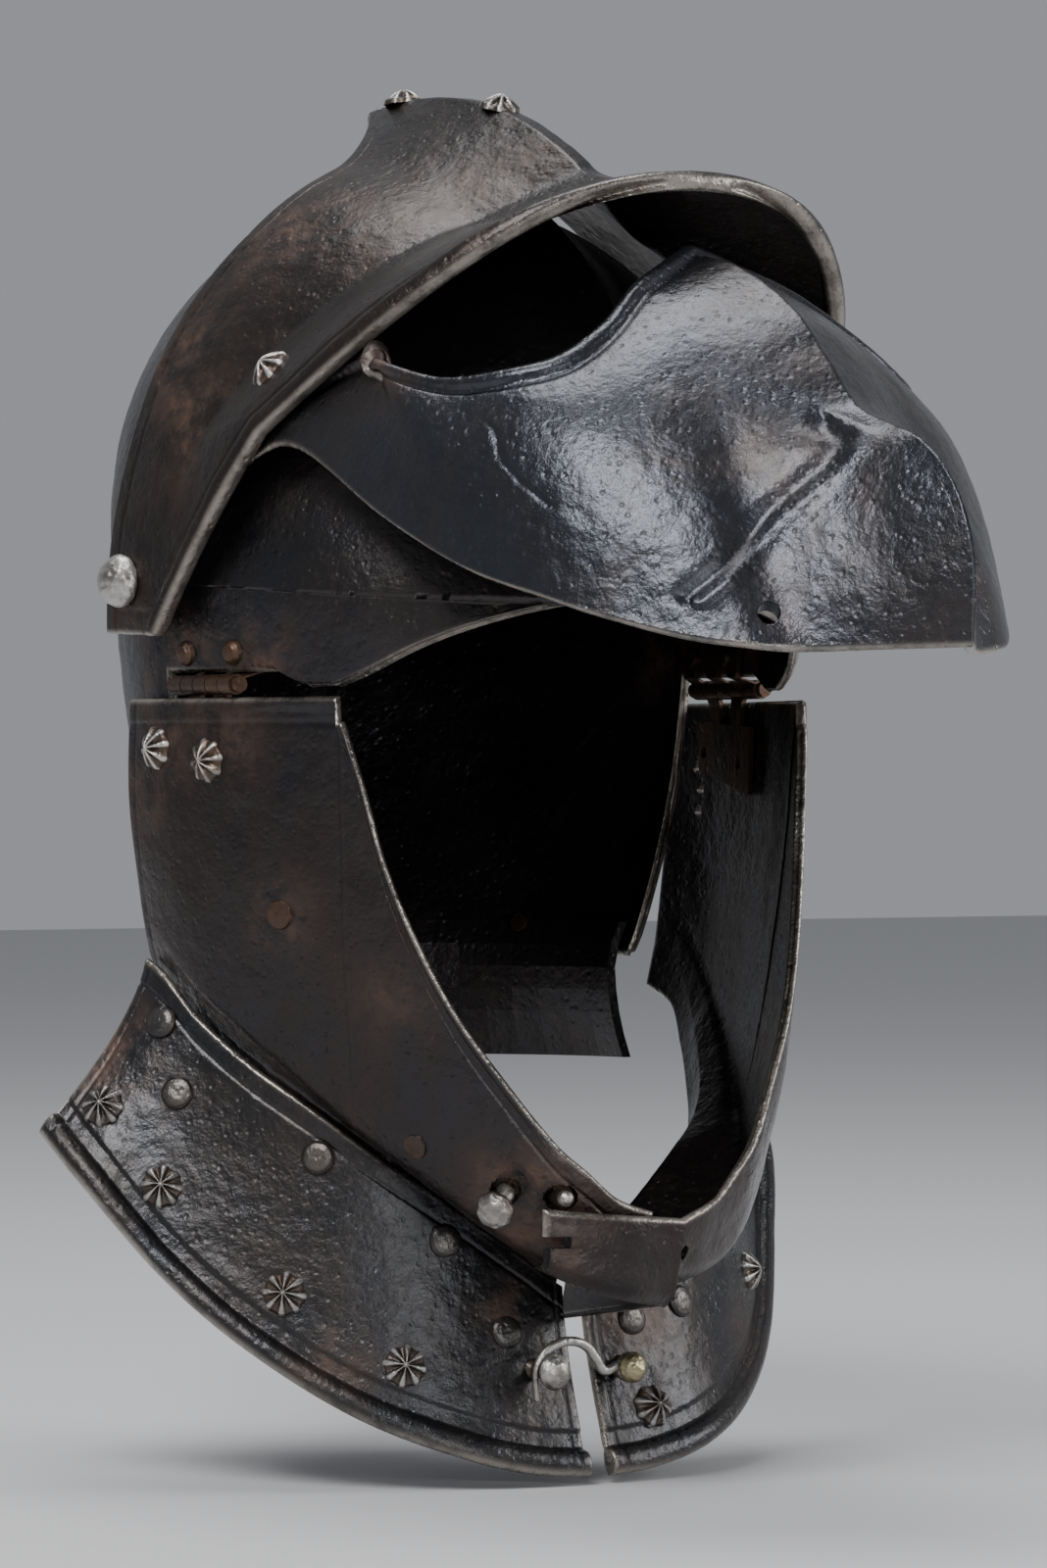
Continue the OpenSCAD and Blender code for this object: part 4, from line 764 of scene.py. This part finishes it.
# Pivot bolts. Heavy round-headed bolts, battered and bare, through peak, visor and skull.
# The head stands on the brow plate's foot, and the shank is held by a square nut inside.
bolt_seat = 96.8
bolt_rows = 40
for name, way in (("pivot_bolt_right", -1), ("pivot_bolt_left", 1)):
    rad = np.linspace(0, 1, bolt_rows)[:, None]
    th = np.linspace(0, 2 * np.pi, 97)[None, :-1]
    steps = [0, 0.2, 0.4, 0.55, 0.66, 0.74, 0.78, 0.79, 1.0]
    bolt_r = np.interp(rad, steps, [0, 2.5, 4.9, 6.7, 7.5, 7.0, 3.6, 3.5, 3.5])
    bolt_h = np.interp(rad, steps, [7.6, 7.1, 5.8, 3.6, 1.4, 0, 0, -0.2, -20.6])
    pts = np.stack([way * (bolt_seat + bolt_h + 0 * th), bolt_r * np.cos(th), bolt_r * np.sin(th)], -1)
    out = pts - np.array([way * bolt_seat, 0, 0])
    out = out / np.maximum(np.linalg.norm(out, axis=-1, keepdims=True), 1)
    battered = 0.3 * value_noise(pts, 3.2, 5) + 0.2 * value_noise(pts, 1.5, 6) - 0.2
    pts = pts + out * battered[..., None] * (rad < 0.73)[..., None]
    bolt = mesh_object(name + "_head", pts.reshape(-1, 3), ring_faces(bolt_rows, 96),
                       {"wear": np.full(bolt_rows * 96, 0.8), "rust": np.repeat((rad[:, 0] > 0.66) * 0.6, 96)})
    bolt.data.materials.append(bright_iron)
    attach(bolt, "skull")
    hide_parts(name)

# Flat rivets. They hold each gorget plate to its cheekpiece, hammered flat outside and clenched inside.
# The shank goes through one plate near the lower edge, and through both where the plates overlap.


def turned(point, direction, profile, seed, wear, lobes=0.0, rough=0.1):
    # A turned or hammered head: [radius, height] from its middle outward and down
    point = np.array(point, float)
    prof = np.array(profile, float)
    keys = np.arange(len(prof))
    along = np.linspace(0, len(prof) - 1, 6 * (len(prof) - 1) + 1)
    r = np.interp(along, keys, prof[:, 0])[:, None]
    h = np.interp(along, keys, prof[:, 1])[:, None]
    th = np.linspace(0, 2 * np.pi, 49)[None, :-1]
    n = np.array(direction, float) / np.linalg.norm(direction)
    side, up = across(n)
    r = r * (1 + lobes * (np.abs(((th * 4 / np.pi + seed) % 1) - 0.5) * 2 - 0.5))
    pts = point + n * (h + 0 * th)[..., None] + side * (r * np.cos(th))[..., None] + up * (r * np.sin(th))[..., None]
    away = pts - (point + n * 0.2)
    away /= np.maximum(np.linalg.norm(away, axis=-1, keepdims=True), 0.5)
    pts = pts + away * (rough * value_noise(pts, 2.2, seed) + rough * 0.6 * value_noise(pts, 0.9, seed + 3))[..., None]
    top = ease((h - prof[:, 1].max() * 0.3) / max(prof[:, 1].max() * 0.6, 0.3))
    return (pts.reshape(-1, 3), ring_faces(len(along), 48), (wear * (0.35 + 0.65 * top) + 0 * th).ravel(),
            ((1 - top) * 0.5 + 0 * th).ravel())


def flat_rivet(one_plate):
    # Profile of a rivet: flat head, shank and clenched end behind one plate, or behind the two at the seam
    end = -3.4 if one_plate else -9.6
    return [[0, 1.5], [2.4, 1.4], [3.7, 1.0], [4.4, 0.4], [4.4, -0.3], [3.0, -0.5], [1.5, -0.5], [1.5, end],
            [2.5, end if one_plate else end - 0.1], [2.4, end - 0.9], [0, end - 1.2]]


for name, body, way, places in (
        ("gorget_rivets_right", "cheek_right", 1, ((91, 0.2), (86, 0.36), (60, 0.16), (34, 0.16), (20, 0.4))),
        ("gorget_rivets_left", "cheek_left", -1, ((91, 0.2), (86, 0.36), (60, 0.16), (31, 0.42), (16, 0.33)))):
    heads = [turned(*on_plate(gorget_at, a, b, 0.05, way, 1), flat_rivet(b >= 0.2), k + 3 * way, 0.45)
             for k, (a, b) in enumerate(places)]
    rivets = joined(name + "_heads", heads)
    rivets.data.materials.append(gorget_iron)
    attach(rivets, body)
    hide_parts(name)

# Catch. Behind the right cheekpiece a spring strip carries a short locking stud, which holds the shut visor,
# and a bent stem with a faceted button that draws it back. Both come out through worn slots.


def bent_wire(path, radius, seed, tail, wear):
    # A drawn wire bent by hand: round in section, smoothed through its bends, thinner at its end
    path = np.array(path, float)
    at = np.linspace(0, len(path) - 1, 12 * (len(path) - 1) + 1)
    keys = np.arange(len(path))
    line = np.stack([curve(np.stack([keys, path[:, k]], 1), at) for k in range(3)], -1)
    t = np.gradient(line, axis=0)
    t /= np.linalg.norm(t, axis=1, keepdims=True)
    side = np.cross(t, [0, 1.0, 0])
    side /= np.linalg.norm(side, axis=1, keepdims=True)
    up = np.cross(side, t)
    r = radius * (1 - (1 - tail) * ease((at / at[-1] - 0.6) / 0.4))
    r[0] = r[-1] = 0.01
    th = np.linspace(0, 2 * np.pi, 25)[:-1]
    around = np.cos(th)[None, :, None] * side[:, None] + np.sin(th)[None, :, None] * up[:, None]
    pts = line[:, None] + r[:, None, None] * around
    pts = pts + 0.07 * value_noise(pts, 1.6, seed)[..., None]
    return pts.reshape(-1, 3), ring_faces(len(at), 24), np.full(len(at) * 24, wear), np.full(len(at) * 24, 0.15)


stud_at = np.array([-30.90, -108.61, -162.05])
stud_way = np.array([-sin_d(14), -cos_d(14), 0])
stud_profile = [[0, 6.5], [1.1, 6.2], [1.9, 5.3], [2.2, 4.2], [2.2, 0], [2.2, -6.1], [0, -6.2]]
knob_at = np.array([-41.65, -99.32, -160.24])
knob_way = np.array([-0.42, -0.9, -0.1]) / np.linalg.norm([-0.42, -0.9, -0.1])
knob_profile = [[0, 4.9], [2.6, 4.7], [4.3, 3.7], [5.1, 2.4], [5.0, 1.3], [3.4, 0.1], [1.7, -0.7]]
bend = knob_at + knob_way * 5
tip = bend + np.array([-6.5, -4.2, -3])
stem_way = (tip - bend) / np.linalg.norm(tip - bend)
stem_path = [knob_at - knob_way * 6.2, knob_at, knob_at + knob_way * 3.2, bend + stem_way * 1.2, bend + stem_way * 4,
             tip + stem_way * 0.8]
stud = joined("catch_stud_peg", [turned(stud_at, stud_way, stud_profile, 4, 0.7, rough=0.08)])
knob = joined("catch_knob_head", [bent_wire(stem_path, 1.85, 2, 1.0, 0.75),
                                  turned(tip, stem_way, knob_profile, 7, 0.7, lobes=0.07, rough=0.16)])
for piece, name in ((stud, "catch_stud"), (knob, "catch_knob")):
    piece.data.materials.append(bright_iron)
    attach(piece, "visor_catch")
    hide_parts(name)

# Closure. A wire hook turns on a brass rivet in the left gorget and hooks over a mushroom stud in the right.
# The wire is drawn thin at its tail, and the stud's head is worn bright.
hook_at = np.array([10.40, -75.66, -209.82])
peg_at = np.array([-15.65, -75.18, -209.82])
forward = (0, -1, 0)
wire_y = -82
bends = [[-2.6, 0], [-4.2, 0.4], [-8, -0.6], [-10.6, 2.6], [-13.6, 6], [-17.6, 7.6], [-22.4, 7.4], [-27, 5.2],
         [-29.8, 1.2], [-30.2, -3.2], [-29.8, -8]]
eye = [[2.9 * cos_d(a), 2.9 * sin_d(a)] for a in range(0, 361, 30)]
wire_path, eye_path = [[[hook_at[0] + x, wire_y, hook_at[2] + z] for x, z in path] for path in (bends, eye)]
clench = [[1.5, -4.2], [2.5, -4.3], [2.4, -5.3], [0, -5.4]]
mushroom = [[0, 13.0], [2.2, 12.6], [4.0, 11.4], [4.8, 9.8], [4.4, 8.8], [2.0, 8.6], [1.9, 4], [2.2, 1.6], [3.2, 0.2],
            [1.5, -0.2]]
brass_rivet = [[0, 11.6], [1.8, 11.2], [3.2, 10.2], [4.2, 8.6], [4.1, 7.9], [1.5, 7.8], [1.5, 4.6], [3.0, 4.5],
               [3.0, 2.2], [1.5, 2.0]]
hook_brass = iron("hook_brass", (0.2, 0.165, 0.085), (0.12, 0.09, 0.05), 0.4, 0.3, rust=0.1, bare=(0.42, 0.37, 0.22))
hook = joined("closure_hook_wire", [bent_wire(wire_path, 1.3, 5, 0.55, 0.7), bent_wire(eye_path, 1.15, 6, 1.0, 0.6)])
hook.data.materials.append(bright_iron)
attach(hook, "closure_hook")
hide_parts("closure_hook")
peg = joined("hook_stud_head", [turned(peg_at, forward, mushroom + clench, 8, 0.9, rough=0.14)])
peg.data.materials.append(bright_iron)
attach(peg, "cheek_right")
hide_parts("hook_stud")
pivot = joined("hook_pivot_head", [turned(hook_at, forward, brass_rivet + clench, 9, 0.8, rough=0.2)])
pivot.data.materials.append(hook_brass)
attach(pivot, "cheek_left")
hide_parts("hook_pivot")

# Hinges, nuts and other small rusty work, left as the smith hammered them.
# The hinge leaves lie inside the plates, and the nuts and the nape's rivets inside the skull.
rusty_iron = iron("rusty_iron", (0.05, 0.04, 0.034), (0.1, 0.056, 0.034), 0.9, 0.45, rust=1.0)
for name in ("nape_rivets", "pivot_nut_right", "pivot_nut_left", "hinge_leaf_skull_right", "hinge_leaf_skull_left",
             "hinge_rivets_skull", "hinge_pin_right", "hinge_pin_left", "hinge_leaf_cheek_right",
             "hinge_leaf_cheek_left", "cheek_plug", "catch_spring", "catch_rivet"):
    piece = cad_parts[name]
    piece.data.materials.clear()
    piece.data.materials.append(rusty_iron)

# Stage. A plain pale floor lies under the lowest edge, with soft studio lights round it.
# The camera stands at the photograph's viewpoint, level with the pivots.
floor_z = -0.2405
bpy.ops.mesh.primitive_plane_add(size=12, location=(0, 0, floor_z))
floor = bpy.context.object
floor.name = "floor"
pale = bpy.data.materials.new("pale_floor")
pale.use_nodes = True
pale_surface = pale.node_tree.nodes["Principled BSDF"]
pale_surface.inputs["Base Color"].default_value = (0.55, 0.55, 0.56, 1)
pale_surface.inputs["Roughness"].default_value = 0.8
floor.data.materials.append(pale)
studio = bpy.data.worlds.new("studio")
bpy.context.scene.world = studio
studio.use_nodes = True
studio.node_tree.nodes["Background"].inputs["Color"].default_value = (0.30, 0.31, 0.33, 1)
studio.node_tree.nodes["Background"].inputs["Strength"].default_value = 1.0
for name, place, size, energy in (("key", (-1.3, -1.0, 1.5), 0.9, 42), ("side", (1.5, -1.2, 0.5), 0.8, 16),
                                  ("top", (0.1, 0.3, 1.8), 1.0, 22), ("front", (-0.4, -2.2, 0.2), 0.7, 9)):
    light = bpy.data.lights.new(name, "AREA")
    light.size = size
    light.energy = energy
    lamp = bpy.data.objects.new(name, light)
    bpy.context.collection.objects.link(lamp)
    lamp.location = place
    lamp.rotation_euler = (-lamp.location).to_track_quat("-Z", "Y").to_euler()
camera = bpy.data.objects.new("camera", bpy.data.cameras.new("camera"))
camera.data.sensor_fit = "VERTICAL"
camera.data.angle = math.radians(12.98)
bpy.context.collection.objects.link(camera)
camera.location = (-1.0672, -1.5722, -0.0543)
camera.rotation_euler = (math.radians(90), 0, math.radians(-35))
bpy.context.scene.camera = camera
